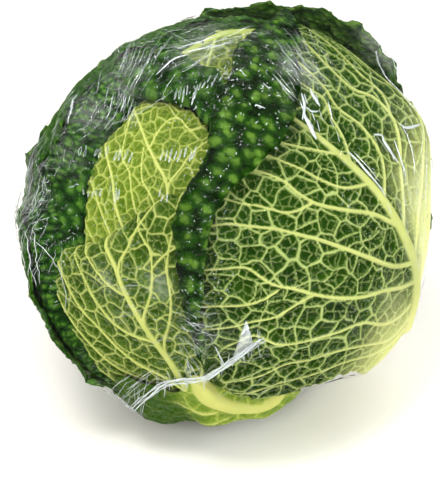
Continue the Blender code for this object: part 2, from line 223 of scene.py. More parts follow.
# veins: (points from the stalk side out, half width at the start, at the end), mm
U_VEINS = [
    ([(37.5, 68), (37, 61), (36, 52)], 3.2, 4.6),
    ([(36.6, 56), (35.8, 49), (36, 41), (38, 32), (43, 26), (52, 25)], 5.0, 3.2),
    ([(2.6, 74.8), (11.1, 58.9), (22.6, 47.5), (31.1, 40.2)], 1.5, 1.3),
    ([(-6, 66), (3, 52), (15, 41), (29, 33)], 1.2, 1.1),
]
R_VEINS = [
    ([(24, -112), (15, -85), (4, -66), (8, -52), (6, -30), (4, -16), (3, 2), (2, 25), (2, 37), (3, 52), (6, 66)], 10.6, 0.6),
    ([(4, 25), (0, 31), (-6, 41), (-9, 47), (-14, 60), (-18, 74)], 1.2, 0.6),
    ([(1, 14), (-7, 20), (-11, 28), (-13, 36), (-15, 42), (-17, 48), (-24, 62)], 1.3, 0.7),
    ([(3, -9), (-4, 4), (-13, 15), (-19, 24), (-21, 32), (-21, 37), (-23, 44), (-26, 50), (-32, 64)], 1.9, 0.8),
    ([(-20, 25), (-26, 27), (-30, 30), (-34, 37), (-39, 44), (-41, 48), (-48, 58)], 1.1, 0.6),
    ([(3, -28), (-7, -19), (-15, -7), (-22, 5), (-28, 15), (-32, 21), (-36, 27), (-42, 34), (-48, 41), (-56, 46), (-64, 52)], 2.1, 0.8),
    ([(4, -40), (-6, -32), (-15, -24), (-24, -18), (-33, -10), (-40, -2), (-45, 5), (-50, 11), (-52, 17), (-54, 23), (-60, 27), (-66, 31), (-78, 38)], 2.1, 0.7),
    ([(-50, 8), (-56, 8), (-63, 10), (-73, 16), (-84, 22)], 1.1, 0.6),
    ([(-40, -2), (-47, -1), (-56, -1), (-64, 2), (-72, 4), (-82, 8)], 1.1, 0.6),
    ([(2, -52), (-8, -48), (-18, -41), (-28, -29), (-38, -24), (-46, -20), (-53, -17), (-61, -12), (-66, -4), (-78, -4)], 1.9, 0.7),
    ([(2, -60), (-14, -56), (-30, -42), (-42, -33), (-53, -28), (-61, -24), (-71, -25), (-79, -24), (-88, -22)], 1.6, 0.6),
    ([(2, -66), (-20, -58), (-38, -45), (-53, -39), (-65, -34), (-76, -34), (-84, -32)], 1.4, 0.5),
    ([(3, 24), (9, 31), (13, 38), (19, 44), (20, 52), (24, 66)], 1.3, 0.7),
    ([(3, 4), (13, 12), (17, 19), (19, 28), (19, 38), (25, 46), (34, 62), (44, 78)], 1.6, 0.7),
    ([(5, -12), (12, -4), (19, 4), (28, 11), (34, 18), (36, 27), (33, 36), (38, 47), (47, 56), (58, 66)], 2.3, 0.9),
    ([(34, 18), (42, 24), (46, 34), (56, 44), (68, 54)], 1.2, 0.7),
    ([(6, -30), (16, -18), (26, -11), (34, -3), (47, 5), (54, 13), (61, 26), (72, 38)], 2.1, 0.9),
    ([(10, -54), (26, -40), (42, -26), (58, -12), (74, 2)], 2.0, 0.8),
    ([(14, -72), (34, -58), (52, -44), (70, -30)], 1.6, 0.7),
]
L_VEINS = [
    ([(-26, -108), (-20, -84), (-14, -62), (-12, -47), (-11, -29), (-6, -5), (-2, 11), (0, 33), (1, 48), (2, 56), (1, 63), (3, 70), (8, 76)], 3.4, 1.0),
    ([(-13, -22), (-8, -7), (-11, 2), (-18, 11), (-22, 21), (-25, 33), (-29, 42), (-31, 53), (-33, 64), (-34, 76)][1:], 1.9, 0.8),
    ([(-3, 10), (0, 20), (-9, 27), (-14, 34), (-17, 44), (-18, 52), (-20, 62), (-21, 71), (-20, 80)][1:], 1.6, 0.7),
    ([(0, 36), (-1, 44), (-6, 50), (-10, 58), (-13, 66), (-14, 71), (-12, 80)][1:], 1.3, 0.7),
    ([(-11, -18), (-18, -8), (-28, 4), (-33, 12), (-36, 24), (-39, 40), (-40, 56), (-42, 66)], 1.6, 0.7),
    ([(-12, -34), (-22, -24), (-34, -12), (-42, 2), (-46, 20)], 1.4, 0.6),
    ([(-14, -52), (-26, -42), (-38, -30), (-48, -14)], 1.4, 0.6),
    ([(1, 50), (5, 56), (11, 59), (19, 64), (31, 69), (42, 72)], 1.2, 0.6),
    ([(-2, 24), (2, 32), (12, 40), (18, 48), (21, 55), (20, 62), (24, 74)], 1.4, 0.7),
    ([(-5, 2), (1, 17), (11, 26), (18, 34), (21, 40), (26, 48), (38, 60)], 1.4, 0.7),
    ([(-8, -16), (2, -4), (14, 6), (26, 16), (40, 28), (56, 38)], 1.4, 0.7),
    ([(-11, -38), (2, -28), (18, -16), (34, -4), (54, 8)], 1.4, 0.7),
    ([(18, 48), (26, 50), (36, 50), (50, 52)], 0.9, 0.6),
]
P1_VEINS = [
    ([(4, -80), (2, -60), (-1, -44), (-2, -30), (3, -20), (7, -8), (5, 3), (3, 12), (1, 23), (-2, 37), (-3, 46)], 2.1, 1.0),
    ([(-8, -60), (-16, -38), (-19, -12), (-17, 5), (-18, 20), (-16, 30), (-10, 36), (-3, 39)], 1.5, 1.0),
    ([(-4, -50), (-8, -30), (-10, -14), (-9, -3), (-8, 4), (-10, 12), (-7, 21), (-2, 34)], 1.1, 0.6),
    ([(0, -36), (-1, -12), (-3, -1), (1, 12)], 1.0, 0.6),
    ([(-14, -64), (-24, -40), (-27, -10), (-28, 2), (-30, 14), (-30, 20), (-24, 28), (-16, 33)], 1.2, 0.7),
    ([(-22, -60), (-34, -36), (-38, -12), (-40, 6), (-36, 18)], 1.0, 0.6),
    ([(5, -14), (8, -8), (15, -3), (21, 2), (30, 6)], 1.0, 0.6),
    ([(3, 10), (11, 19), (18, 21), (23, 12), (30, 14)], 0.9, 0.6),
    ([(0, 33), (13, 31), (18, 20)], 0.8, 0.5),
    ([(1, -40), (14, -24), (26, -14), (40, -8)], 1.2, 0.6),
    ([(2, -60), (18, -46), (34, -34), (48, -28)], 1.2, 0.6),
]

_P1 = dict(d=around(20, 156), v=(-0.246, 0.721, 0.648))
P1_EDGE = [(math.degrees(math.atan2(y, x)), math.hypot(x, y)) for x, y in
           [(31, 0), (30, 11), (26, 20), (20, 28), (14, 35), (6.6, 38.6), (1, 36.6), (-9, 29), (-22, 21.5),
            (-26, 16), (-32, 8.5), (-37, -2), (-43, -12), (-48, -30), (-46, -60), (-28, -88), (6, -98),
            (36, -84), (42, -50), (34, -22)]]


def swell(d):
    """How far the folded leaves round the heart swell out past the margin of the front heart leaf."""
    fr = leaf_frame(_P1['d'], _P1['v'])
    x, y = to_plane(fr, d)
    q = np.degrees(np.arctan2(y, x))
    e = np.hypot(x, y) - around_curve(P1_EDGE, q)
    side = smooth(15, 55, q % 360) * smooth(240, 205, q % 360)
    return (9.0 * smooth(0.5, 16, e) + 7.0 * smooth(16, 40, e)) * side


LEAVES = [
    dict(name='heart_leaf_left', node='heart_leaf_left', rough=True, d=around(50, 140), v=TOP, stalk=False,
         outline=[(58, 8), (52, 34), (34, 52), (8, 58), (-20, 54), (-42, 38), (-52, 12), (-50, -24),
                  (-44, -58), (-22, -88), (8, -96), (34, -84), (52, -52), (58, -20)],
         off=lambda x, y, f, q: 1.9 + swell(on_ball(leaf_frame(around(50, 140), TOP), x, y)), pit=0.6, blister=0.9,
         seed=11, wave=0.8),
    dict(name='heart_leaf_front', node='heart_leaf_front', d=around(20, 156), v=(-0.246, 0.721, 0.648), stalk=False,
         outline=[(31, 0), (30, 11), (26, 20), (20, 28), (14, 35), (6.6, 38.6), (1, 36.6), (-9, 29), (-22, 21.5),
                  (-26, 16), (-32, 8.5), (-37, -2), (-43, -12), (-48, -30), (-46, -60), (-28, -88), (6, -98),
                  (36, -84), (42, -50), (34, -22)],
         off=lambda x, y, f, q: 4.2 + 0 * x, veins=P1_VEINS, pit=1.05, blister=0.35, seed=23, cell3=6.4, cell4=2.9),
    dict(name='heart_leaf_top', node='heart_leaf_top', d=around(-95, 150), v=TOP, stalk=False,
         outline=[(12, 24), (2, 34), (-15, 34), (-36, 24), (-56, 6), (-52, -30), (-42, -66),
                  (-12, -88), (8, -72), (10, -46), (9, -25), (7, -8), (9, 4), (14, 12)],
         roll=[(30, 0), (60, 7), (80, 16), (100, 20), (125, 19), (145, 18), (165, 10), (190, 0), (250, 0), (340, 0)],
         fold=[(75, 34), (93, 34), (106, 31.5), (116, 30), (141, 32), (152, 42), (157, 52), (161, 58)],
         edge=[(67, 22.7), (92, 12), (121, 13), (157, 19.3), (172, 21)],
         roll_r=2.4, off=lambda x, y, f, q: 6.4 + 0.45 * swell(on_ball(leaf_frame(around(-95, 150), TOP), x, y)), pit=0.9, blister=0.8, seed=31, cell3=6.6, cell4=3.0),
    dict(name='wrapper_leaf_rear', node='wrapper_leaf_rear', d=around(-172, 95), v=TOP,
         outline=[(84, 40), (82, 70), (62, 94), (40, 108), (14, 106), (-12, 102), (-40, 93), (-66, 73),
                  (-90, 52), (-94, 14), (-78, -30), (-46, -66), (-10, -78), (30, -76), (62, -50), (80, -8)],
         off=lambda x, y, f, q: 8.9 + REAR_FLARE(f, q), pit=1.4, blister=0.9, wave=1.7, seed=41),
    dict(name='wrapper_leaf_front', node='wrapper_leaf_front', d=(-0.15, -0.90, -0.40), v=(-0.475, 0.287, 0.832),
         outline=[(-43, 66), (-22, 70), (0, 70), (22, 72), (42, 70), (56, 58), (62, 34), (60, 6),
                  (48, -26), (24, -50), (-14, -56), (-40, -38), (-51, -8), (-47, 22), (-46, 48)],
         roll=[(0, 0), (45, 3), (60, 6), (90, 7), (120, 7), (150, 6), (170, 4), (195, 4), (215, 2), (235, 0), (300, 0)],
         roll_r=4.2, roll_in=True,
         off=lambda x, y, f, q: (11.3 + FRONT_TUCK(f, q) + 5.0 * smooth(-22, -50, x)
                                + 3.5 * np.exp(-((x + 3) / 13) ** 2 - ((y + 12) / 16) ** 2)), veins=L_VEINS, pit=1.7, blister=0.45, seed=53),
    dict(name='wrapper_leaf_left', node='wrapper_leaf_left', d=around(118, 80), v=TOP,
         outline=[(62, 8), (58, 32), (48, 54), (36, 76), (14, 84), (-14, 84), (-44, 72), (-66, 46),
                  (-76, 12), (-66, -24), (-38, -48), (6, -56), (50, -52), (78, -30), (72, -10)],
         off=lambda x, y, f, q: 13.8 + LEFT_FLARE(f, q), pit=1.5, blister=0.9, wave=1.7, seed=61),
    dict(name='wrapper_leaf_right', node='wrapper_leaf_right', d=(0.726, -0.607, 0.323), v=(-0.476, -0.104, 0.873),
         outline=[(-10, -78), (-28, -64), (-41, -55.5), (-50, -52), (-63, -47), (-74, -43), (-82, -34), (-87, -18), (-91, 4),
                  (-88, 32), (-76, 54), (-57, 71), (-32, 83), (-6, 91), (12, 99), (33, 101), (52, 91),
                  (66, 73), (76, 57), (83, 36), (84, 10), (78, -28), (55, -58), (25, -80)],
         roll=[(36, 0), (48, 10), (60, 23), (72, 26), (85, 26), (100, 26), (120, 25), (140, 23), (155, 19),
               (168, 13), (180, 8), (195, 3), (212, 0), (270, 0), (330, 0), (10, 0)],
         fold=[(74, 83.5), (87, 75.6), (98, 74.9), (107, 73.3), (115, 70.6), (124, 73.2), (132, 77.8), (139, 80.8),
               (146, 80.2), (154, 81), (162, 82), (169, 83.7)],
         edge=[(65, 75.8), (69, 61.6), (79, 54.2), (92, 49.3), (106, 49.6), (119, 55.3), (129, 63.1), (136, 67),
               (144, 69.6), (151, 71.8), (162, 75.1), (168, 79.7)],
         roll_r=3.4, off=lambda x, y, f, q: (18.6 - 5.6 * smooth(0, 58, -.45 * x + .78 * y)
                                             + 4.0 * np.exp(-((x - 2) / 34) ** 2 - ((y + 76) / 20) ** 2)
                                             + 7.0 * np.exp(-((x - 46) / 19) ** 2 - ((y - 2) / 22) ** 2)),
         veins=R_VEINS, pit=1.7, blister=0.95, seed=71,
         dark=lambda x, y: 0.2 * smooth(-5, 40, y),
         pale=lambda x, y: 0.95 * smooth(3, 20, x) * smooth(22, -34, y)),
    dict(name='wrapper_leaf_back', node='wrapper_leaf_back', d=around(-112, 75), v=TOP,
         outline=[(8, 60), (-9, 56), (-23, 47), (-35, 34), (-39, 23), (-40, 14), (-41, 5), (-47, -6), (-54, -17), (-60, -30), (-60, -52),
                  (-20, -62), (30, -60), (64, -36), (76, 2), (70, 34), (52, 54), (30, 62)],
         off=lambda x, y, f, q: 21.0 + BACK_FLARE(f, q), pit=1.5, blister=0.9, wave=1.7, seed=83),
    dict(name='wrapper_leaf_under', node='wrapper_leaf_under', d=around(62, 45), v=TOP, gap=19,
         outline=[(46, 4), (53, 15), (57, 25), (51, 32), (44, 37.5), (42, 49), (40.5, 57), (36, 63), (25, 57), (12, 64), (2, 68),
                  (-14, 60), (-36, 44), (-50, 22), (-52, -4),
                  (-40, -26), (-16, -34), (14, -34), (34, -20)], veins=U_VEINS,
         off=lambda x, y, f, q: (22.6 - 5.6 * smooth(0.45, 0.85, f) * (0.5 + 0.5 * np.cos(np.radians(q - 38)))
                                - 2.6 * smooth(0.82, 1.0, f) - 1.5 * smooth(60, 76, np.hypot(x, y)) * smooth(45, 52, q) * smooth(72, 64, q)
                                + np.interp((x - y) / 2, [-34, -23, -18, -13, -3, 7, 17, 27, 40],
                                            [0, 2.2, 0.3, -3.0, -4.8, -4.2, -6.6, -6.0, -3.0])
                                * smooth(-16, 6, x + y) * smooth(60, 38, x + y)),
         pit=0.8, blister=0.4, seed=97,
         dark=lambda x, y: smooth(66, 58, 0.6 * x + 0.8 * y) * smooth(26, 14, x)),
]


# On the far left the leaves fall back a little, and the film spans the hollow.
OUT_LEFT = unit(np.array([-1.0, 0, 0]) + 0.12 * CAM_UP)


def dented(spec, deep):
    fr = leaf_frame(spec['d'], spec['v'])
    p = np.array(to_plane(fr, OUT_LEFT), float).reshape(2)
    t = np.array(to_plane(fr, unit(OUT_LEFT + 0.2 * TO_CAM)), float).reshape(2) - p
    t /= np.hypot(*t)
    base = spec['off']

    def off(x, y, f, q):
        a = (x - p[0]) * t[0] + (y - p[1]) * t[1]
        b = (y - p[1]) * t[0] - (x - p[0]) * t[1]
        return base(x, y, f, q) - deep * np.exp(-(a / 38) ** 2 - (b / 16) ** 2)
    spec['off'] = off


for spec in LEAVES:
    if spec['name'] in ('heart_leaf_left', 'wrapper_leaf_rear', 'wrapper_leaf_left'):
        dented(spec, 5.0)


class Leaf:
    def __init__(self, spec):
        self.s = spec
        self.fr = leaf_frame(spec['d'], spec['v'])
        pts = spec['outline']
        self.polar = [(math.degrees(math.atan2(y, x)), math.hypot(x, y)) for x, y in pts]
        sx, sy = to_plane(self.fr, STEM)
        self.stem = (float(sx[0]), float(sy[0]))
        self.toward = math.degrees(math.atan2(self.stem[1], self.stem[0]))
        self.end = math.hypot(*self.stem) - spec.get('gap', 20.0)
        shrink = math.sin(self.end / WRAP_RADIUS) / (self.end / WRAP_RADIUS)
        half = 13.0 / shrink * 0.9
        self.near = math.degrees(math.asin(min(0.9, half / self.end)))
        self.table = None
        q = np.arange(0, 360, 0.25)
        self.table_b = self._margin(q)
        roll = spec.get('roll')
        self.table_w = np.maximum(around_curve(roll, q), 0) if roll else np.zeros_like(q)
        if 'fold' in spec:             # where the leaf turns back, and how far back its margin comes
            fold, edge = np.array(spec['fold'], float), np.array(spec['edge'], float)
            R = spec['roll_r']
            line = np.interp(q, fold[:, 0], fold[:, 1]) - R
            back = np.maximum(line - np.interp(q, edge[:, 0], edge[:, 1]), 0)
            q0, q1 = fold[0, 0], fold[-1, 0]
            k = smooth(q0 - 12, q0, q) * smooth(q1 + 14, q1, q)
            w = self.table_w * (1 - k) + (back + math.pi * R) * k
            self.table_b = (self.table_b - self.table_w) * (1 - k) + line * k + w
            self.table_w = w

    def _margin(self, q):
        b = around_curve(self.polar, q)
        if self.s.get('stalk', True):
            dq = np.abs((q - self.toward + 180) % 360 - 180)
            g = (1 - np.clip((dq - self.near) / 38.0, 0, 1)) ** 2.3
            b = b + (self.end - b) * g
        # small scallops of a crinkled margin
        n = self.s['seed']
        k = 1 - 0.0
        if self.s.get('stalk', True):
            k = np.clip((dq - self.near - 12) / 20, 0, 1)
        ang = np.radians(q)
        wob = (0.5 * np.sin(23 * ang + n) + 0.5 * np.sin(37 * ang + 2.1 * n) + 0.4 * np.sin(61 * ang + 0.7 * n))
        return b + k * wob * self.s.get('scallop', 1.4 if self.s.get('wave') else 0.8)

    def look(self, table, q):
        t = (q % 360.0) / 0.25
        i = np.floor(t).astype(int)
        f = t - i
        return table[i % 1440] * (1 - f) + table[(i + 1) % 1440] * f

    def flat(self, x, y):
        q = np.degrees(np.arctan2(y, x))
        r = np.hypot(x, y)
        b = self.look(self.table_b, q)
        w = self.look(self.table_w, q)
        return q, r, b, w

    def base(self, x, y):
        """Middle surface of the leaf at flat points, and how far past the fold each is."""
        q, r, b, w = self.flat(x, y)
        R = self.s.get('roll_r', 3.0)
        over = np.maximum(r - (b - w), 0) * (w > 0.05)
        lim = math.pi if not self.s.get('roll_in') else 1.45
        turn = np.minimum(over / R, lim)
        back = np.maximum(over - lim * R, 0)
        r2 = np.where(over > 0, (b - w) + R * np.sin(turn) + back * math.cos(lim), r)
        rise = np.where(over > 0, R * (1 - np.cos(turn)) + back * math.sin(lim), 0)
        if self.s.get('roll_in'):
            rise = -np.minimum(rise, 4.6)
        k = r2 / np.maximum(r, 1e-6)
        x2, y2 = x * k, y * k
        f = np.clip(r / b, 0, 1)
        o = self.s['off'](x2, y2, f, q) + rise
        wave = self.s.get('wave', 0)
        if wave:
            a = np.radians(q)
            o = o + wave * f ** 8 * (np.sin(17 * a + self.s['seed']) + 0.6 * np.sin(29 * a + 1.7)) * 0.6
        return place(on_ball(self.fr, x2, y2), o), over, f

    def normal(self, x, y):
        h = 0.2
        px = self.base(x + h, y)[0] - self.base(x - h, y)[0]
        py = self.base(x, y + h)[0] - self.base(x, y - h)[0]
        n = np.cross(px, py)
        return n / np.maximum(np.linalg.norm(n, axis=1, keepdims=True), 1e-12)

    def height(self, d):
        """Stand-off of the unfolded leaf in direction d, or -1 where the leaf isn't."""
        x, y = to_plane(self.fr, d)
        q, r, b, w = self.flat(x, y)
        R = self.s.get('roll_r', 3.0)
        lim = b - w + np.where(w > 1, R, 0) - 3.0
        return np.where(r < lim, self.s['off'](x, y, np.clip(r / b, 0, 1), q), -1.0)

    # --- veins
    def build_veins(self):
        veins = self.s.get('veins')
        if veins is None:
            veins = self.auto_veins()
        seg = []
        for pts, w0, w1 in veins:
            c = fine_curve(pts)
            slim = 0.52 if w0 < 2.6 else 0.9
            bend = 0.42 if w0 > 5 else 0.8
            w0, w1 = w0 * slim, w1 * slim
            n = len(c) - 1
            for k in range(n):
                t0, t1 = k / n, (k + 1) / n
                seg.append((*c[k], *c[k + 1], w0 + (w1 - w0) * t0 ** bend, w0 + (w1 - w0) * t1 ** bend))
        self.seg = np.array(seg)

    def auto_veins(self):
        rng = np.random.RandomState(self.s['seed'])
        tx, ty = math.cos(math.radians(self.toward)), math.sin(math.radians(self.toward))
        if not self.s.get('stalk', True):
            tx, ty = 0.0, -1.0
        start = np.array([tx, ty]) * (self.end if self.s.get('stalk', True) else
                                      float(self.look(self.table_b, np.array([math.degrees(math.atan2(ty, tx))]))[0]) - 2)
        up = -np.array([tx, ty])
        side = np.array([up[1], -up[0]])
        far = float(self.look(self.table_b, np.array([math.degrees(math.atan2(up[1], up[0]))]))[0]) * 0.92
        total = np.linalg.norm(start) + far
        mid = [start + up * total * t + side * 3.0 * math.sin(3.0 * t + self.s['seed']) * t for t in np.linspace(0, 1, 9)]
        veins = [(mid, 4.0, 0.9)]
        for sgn in (-1, 1):
            t = 0.16 + 0.03 * sgn
            while t < 0.92:
                p0 = start + up * total * t
                k = t
                ang = math.radians(72 - 34 * k + rng.uniform(-5, 5))
                pts = [p0]
                cur = p0.copy()
                length = 0
                fork = None
                for n in range(16):
                    a = ang - math.radians(2.2 * n) * (1 - 0.3 * k)
                    cur = cur + 7.0 * (up * math.cos(a) + side * sgn * math.sin(a))
                    q = math.degrees(math.atan2(cur[1], cur[0]))
                    b = float(self.look(self.table_b, np.array([q]))[0])
                    pts.append(cur.copy())
                    length += 7
                    if n == 4:
                        fork = (cur.copy(), a)
                    if np.hypot(*cur) > b * 0.97:
                        break
                veins.append((pts, 2.0 - 0.9 * t, 0.6))
                if fork is not None and len(pts) > 7:
                    cur, a = fork
                    fp = [cur.copy()]
                    for n in range(9):
                        a2 = a + math.radians(26 - 3.0 * n)
                        cur = cur + 7.0 * (up * math.cos(a2) + side * sgn * math.sin(a2))
                        fp.append(cur.copy())
                        q = math.degrees(math.atan2(cur[1], cur[0]))
                        if np.hypot(*cur) > float(self.look(self.table_b, np.array([q]))[0]) * 0.97:
                            break
                    veins.append((fp, 1.1, 0.5))
                t += 0.105 + rng.uniform(-0.01, 0.02)
        return veins

    def main_veins(self, x, y):
        ridge = np.zeros_like(x)
        mask = np.zeros_like(x)
        free = np.full(x.shape, 1e9)
        for ax, ay, bx, by, w0, w1 in self.seg:
            dx, dy = bx - ax, by - ay
            pad = 9.0
            near = ((x > min(ax, bx) - pad) & (x < max(ax, bx) + pad)
                    & (y > min(ay, by) - pad) & (y < max(ay, by) + pad))
            if not near.any():
                continue
            xs, ys = x[near], y[near]
            t = np.clip(((xs - ax) * dx + (ys - ay) * dy) / max(dx * dx + dy * dy, 1e-9), 0, 1)
            dist = np.hypot(xs - ax - t * dx, ys - ay - t * dy)
            w = w0 + (w1 - w0) * t
            u = dist / w
            h = np.where(w > 2.4, 0.35 + 0.5 * w, 0.25 + 0.55 * w)
            ridge[near] = np.maximum(ridge[near], h * np.exp(-1.3 * u ** 2.4))
            mask[near] = np.maximum(mask[near], 1 - smooth(0.75, 1.2, u))
            free[near] = np.minimum(free[near], dist - w)
        return ridge, mask, np.minimum(free, 9.0)

    def fields(self, x, y, over):
        """Everything the leaf's relief and colour need, at flat points."""
        s = self.s
        seed = s['seed']
        c3, c4 = s.get('cell3', 8.2), s.get('cell4', 3.6)
        ridge, mask, free = self.main_veins(x, y)
        wx = x + 1.2 * value_noise(x, y, 9, seed + 1)
        wy = y + 1.2 * value_noise(x, y, 9, seed + 2)
        e3, k3 = cells(wx, wy, c3, seed + 10)
        e4, k4 = cells(wx, wy, c4, seed + 20, warp=0.16)
        q, r, b, w = self.flat(x, y)
        R = s.get('roll_r', 3.0)
        rb = np.where(over > 0.01, b - w - (over - math.pi * R / 2), r)
        bx, by = x * rb / np.maximum(r, 1e-6), y * rb / np.maximum(r, 1e-6)
        eb, kb = cells(bx, by, 3.7, seed + 30, jitter=0.36)
        eB, kB = cells(bx, by, 9.5, seed + 40)
        # third-order veins keep a width of about a millimetre, fourth-order ones half that
        w3 = 0.36 + 0.11 * value_noise(x, y, 14, seed + 3)
        v3 = 1 - smooth(0.55, 1.25, e3 / w3)
        w4 = 0.21 + 0.06 * value_noise(x, y, 8, seed + 4)
        v4 = (1 - smooth(0.5, 1.4, e4 / w4)) * (0.34 + 0.34 * k3)
        q3 = np.minimum(np.minimum(e3 - 0.3, free), 6.0)
        q3 = np.maximum(q3, 0)
        pit = (1 - np.exp(-q3 / 1.9)) * 0.74 + (1 - np.exp(-np.minimum(np.maximum(e4, 0), q3 + 0.2) / 0.75)) * 0.26
        ub, uB = np.clip(eb / 1.75, 0, 1), np.clip(eB / 4.2, 0, 1)
        lump = np.sqrt(1 - (1 - ub) ** 2) * 0.62 + np.sqrt(1 - (1 - uB) ** 2) * 0.38
        ridge = np.maximum(ridge, np.maximum(0.42 * np.exp(-(e3 / 0.62) ** 2), 0.2 * np.exp(-(e4 / 0.4) ** 2)))
        vein = np.maximum(mask, np.maximum(v3 * 0.93, v4 * 0.7))
        return dict(ridge=ridge, vein=vein, main=mask, pit=pit, lump=lump, free=free, k3=k3, kb=kb)


LEAF_OBJ = [Leaf(s) for s in LEAVES]
for lf in LEAF_OBJ:
    lf.build_veins()


def hidden_below(index, d, o):
    """True where another leaf lies over this one in direction d."""
    over = np.zeros(len(d), bool)
    for k, other in enumerate(LEAF_OBJ):
        if k != index:
            over |= other.height(d) > o + 0.3
    return over


def spread(leaf, level, sizes):
    """Flat points inside the leaf with the spacing that level() asks for at each place."""
    bound = float(leaf.table_b.max()) + 1
    xs, ys = [], []
    for k, h in enumerate(sizes):
        n = int(bound / h) + 2
        i = np.arange(-n, n + 1)
        gx, gy = np.meshgrid(i * h, i * h * 0.866)
        gx = gx + (np.arange(-n, n + 1) % 2)[:, None] * h * 0.5
        x, y = gx.ravel(), gy.ravel()
        rng = np.random.RandomState(leaf.s['seed'] + k)
        x = x + rng.uniform(-0.12, 0.12, len(x)) * h
        y = y + rng.uniform(-0.12, 0.12, len(y)) * h
        q, r, b, w = leaf.flat(x, y)
        keep = r < b - 0.55 * min(h, 1.6)
        x, y = x[keep], y[keep]
        lv = level(x, y)
        pick = lv == k
        xs.append(x[pick])
        ys.append(y[pick])
    return np.concatenate(xs), np.concatenate(ys)


def margin_points(leaf, step=0.85):
    q = np.arange(0, 360, 0.25)
    b = leaf.table_b
    x, y = b * np.cos(np.radians(q)), b * np.sin(np.radians(q))
    dx, dy = np.diff(np.append(x, x[0])), np.diff(np.append(y, y[0]))
    s = np.concatenate([[0], np.cumsum(np.hypot(dx, dy))])
    n = int(s[-1] / step)
    t = np.arange(n) * s[-1] / n
    xx = np.interp(t, s, np.append(x, x[0]))
    yy = np.interp(t, s, np.append(y, y[0]))
    return xx, yy


def triangulate(bx, by, x, y):
    nb = len(bx)
    pts = [Vector((float(a), float(b))) for a, b in zip(np.concatenate([bx, x]), np.concatenate([by, y]))]
    edges = [(k, (k + 1) % nb) for k in range(nb)]
    vo, eo, fo, ov, oe, of_ = delaunay_2d_cdt(pts, edges, [], 1, 1e-5)
    src = [o[0] if len(o) else -1 for o in ov]
    if len(vo) != len(pts) or min(src) < 0:
        print('triangulation changed the points', len(vo), len(pts))
    faces = np.array([[src[i] for i in f] for f in fo if len(f) == 3])
    return faces


CAM_POS = CENTRE + TO_CAM * CAM_DIST


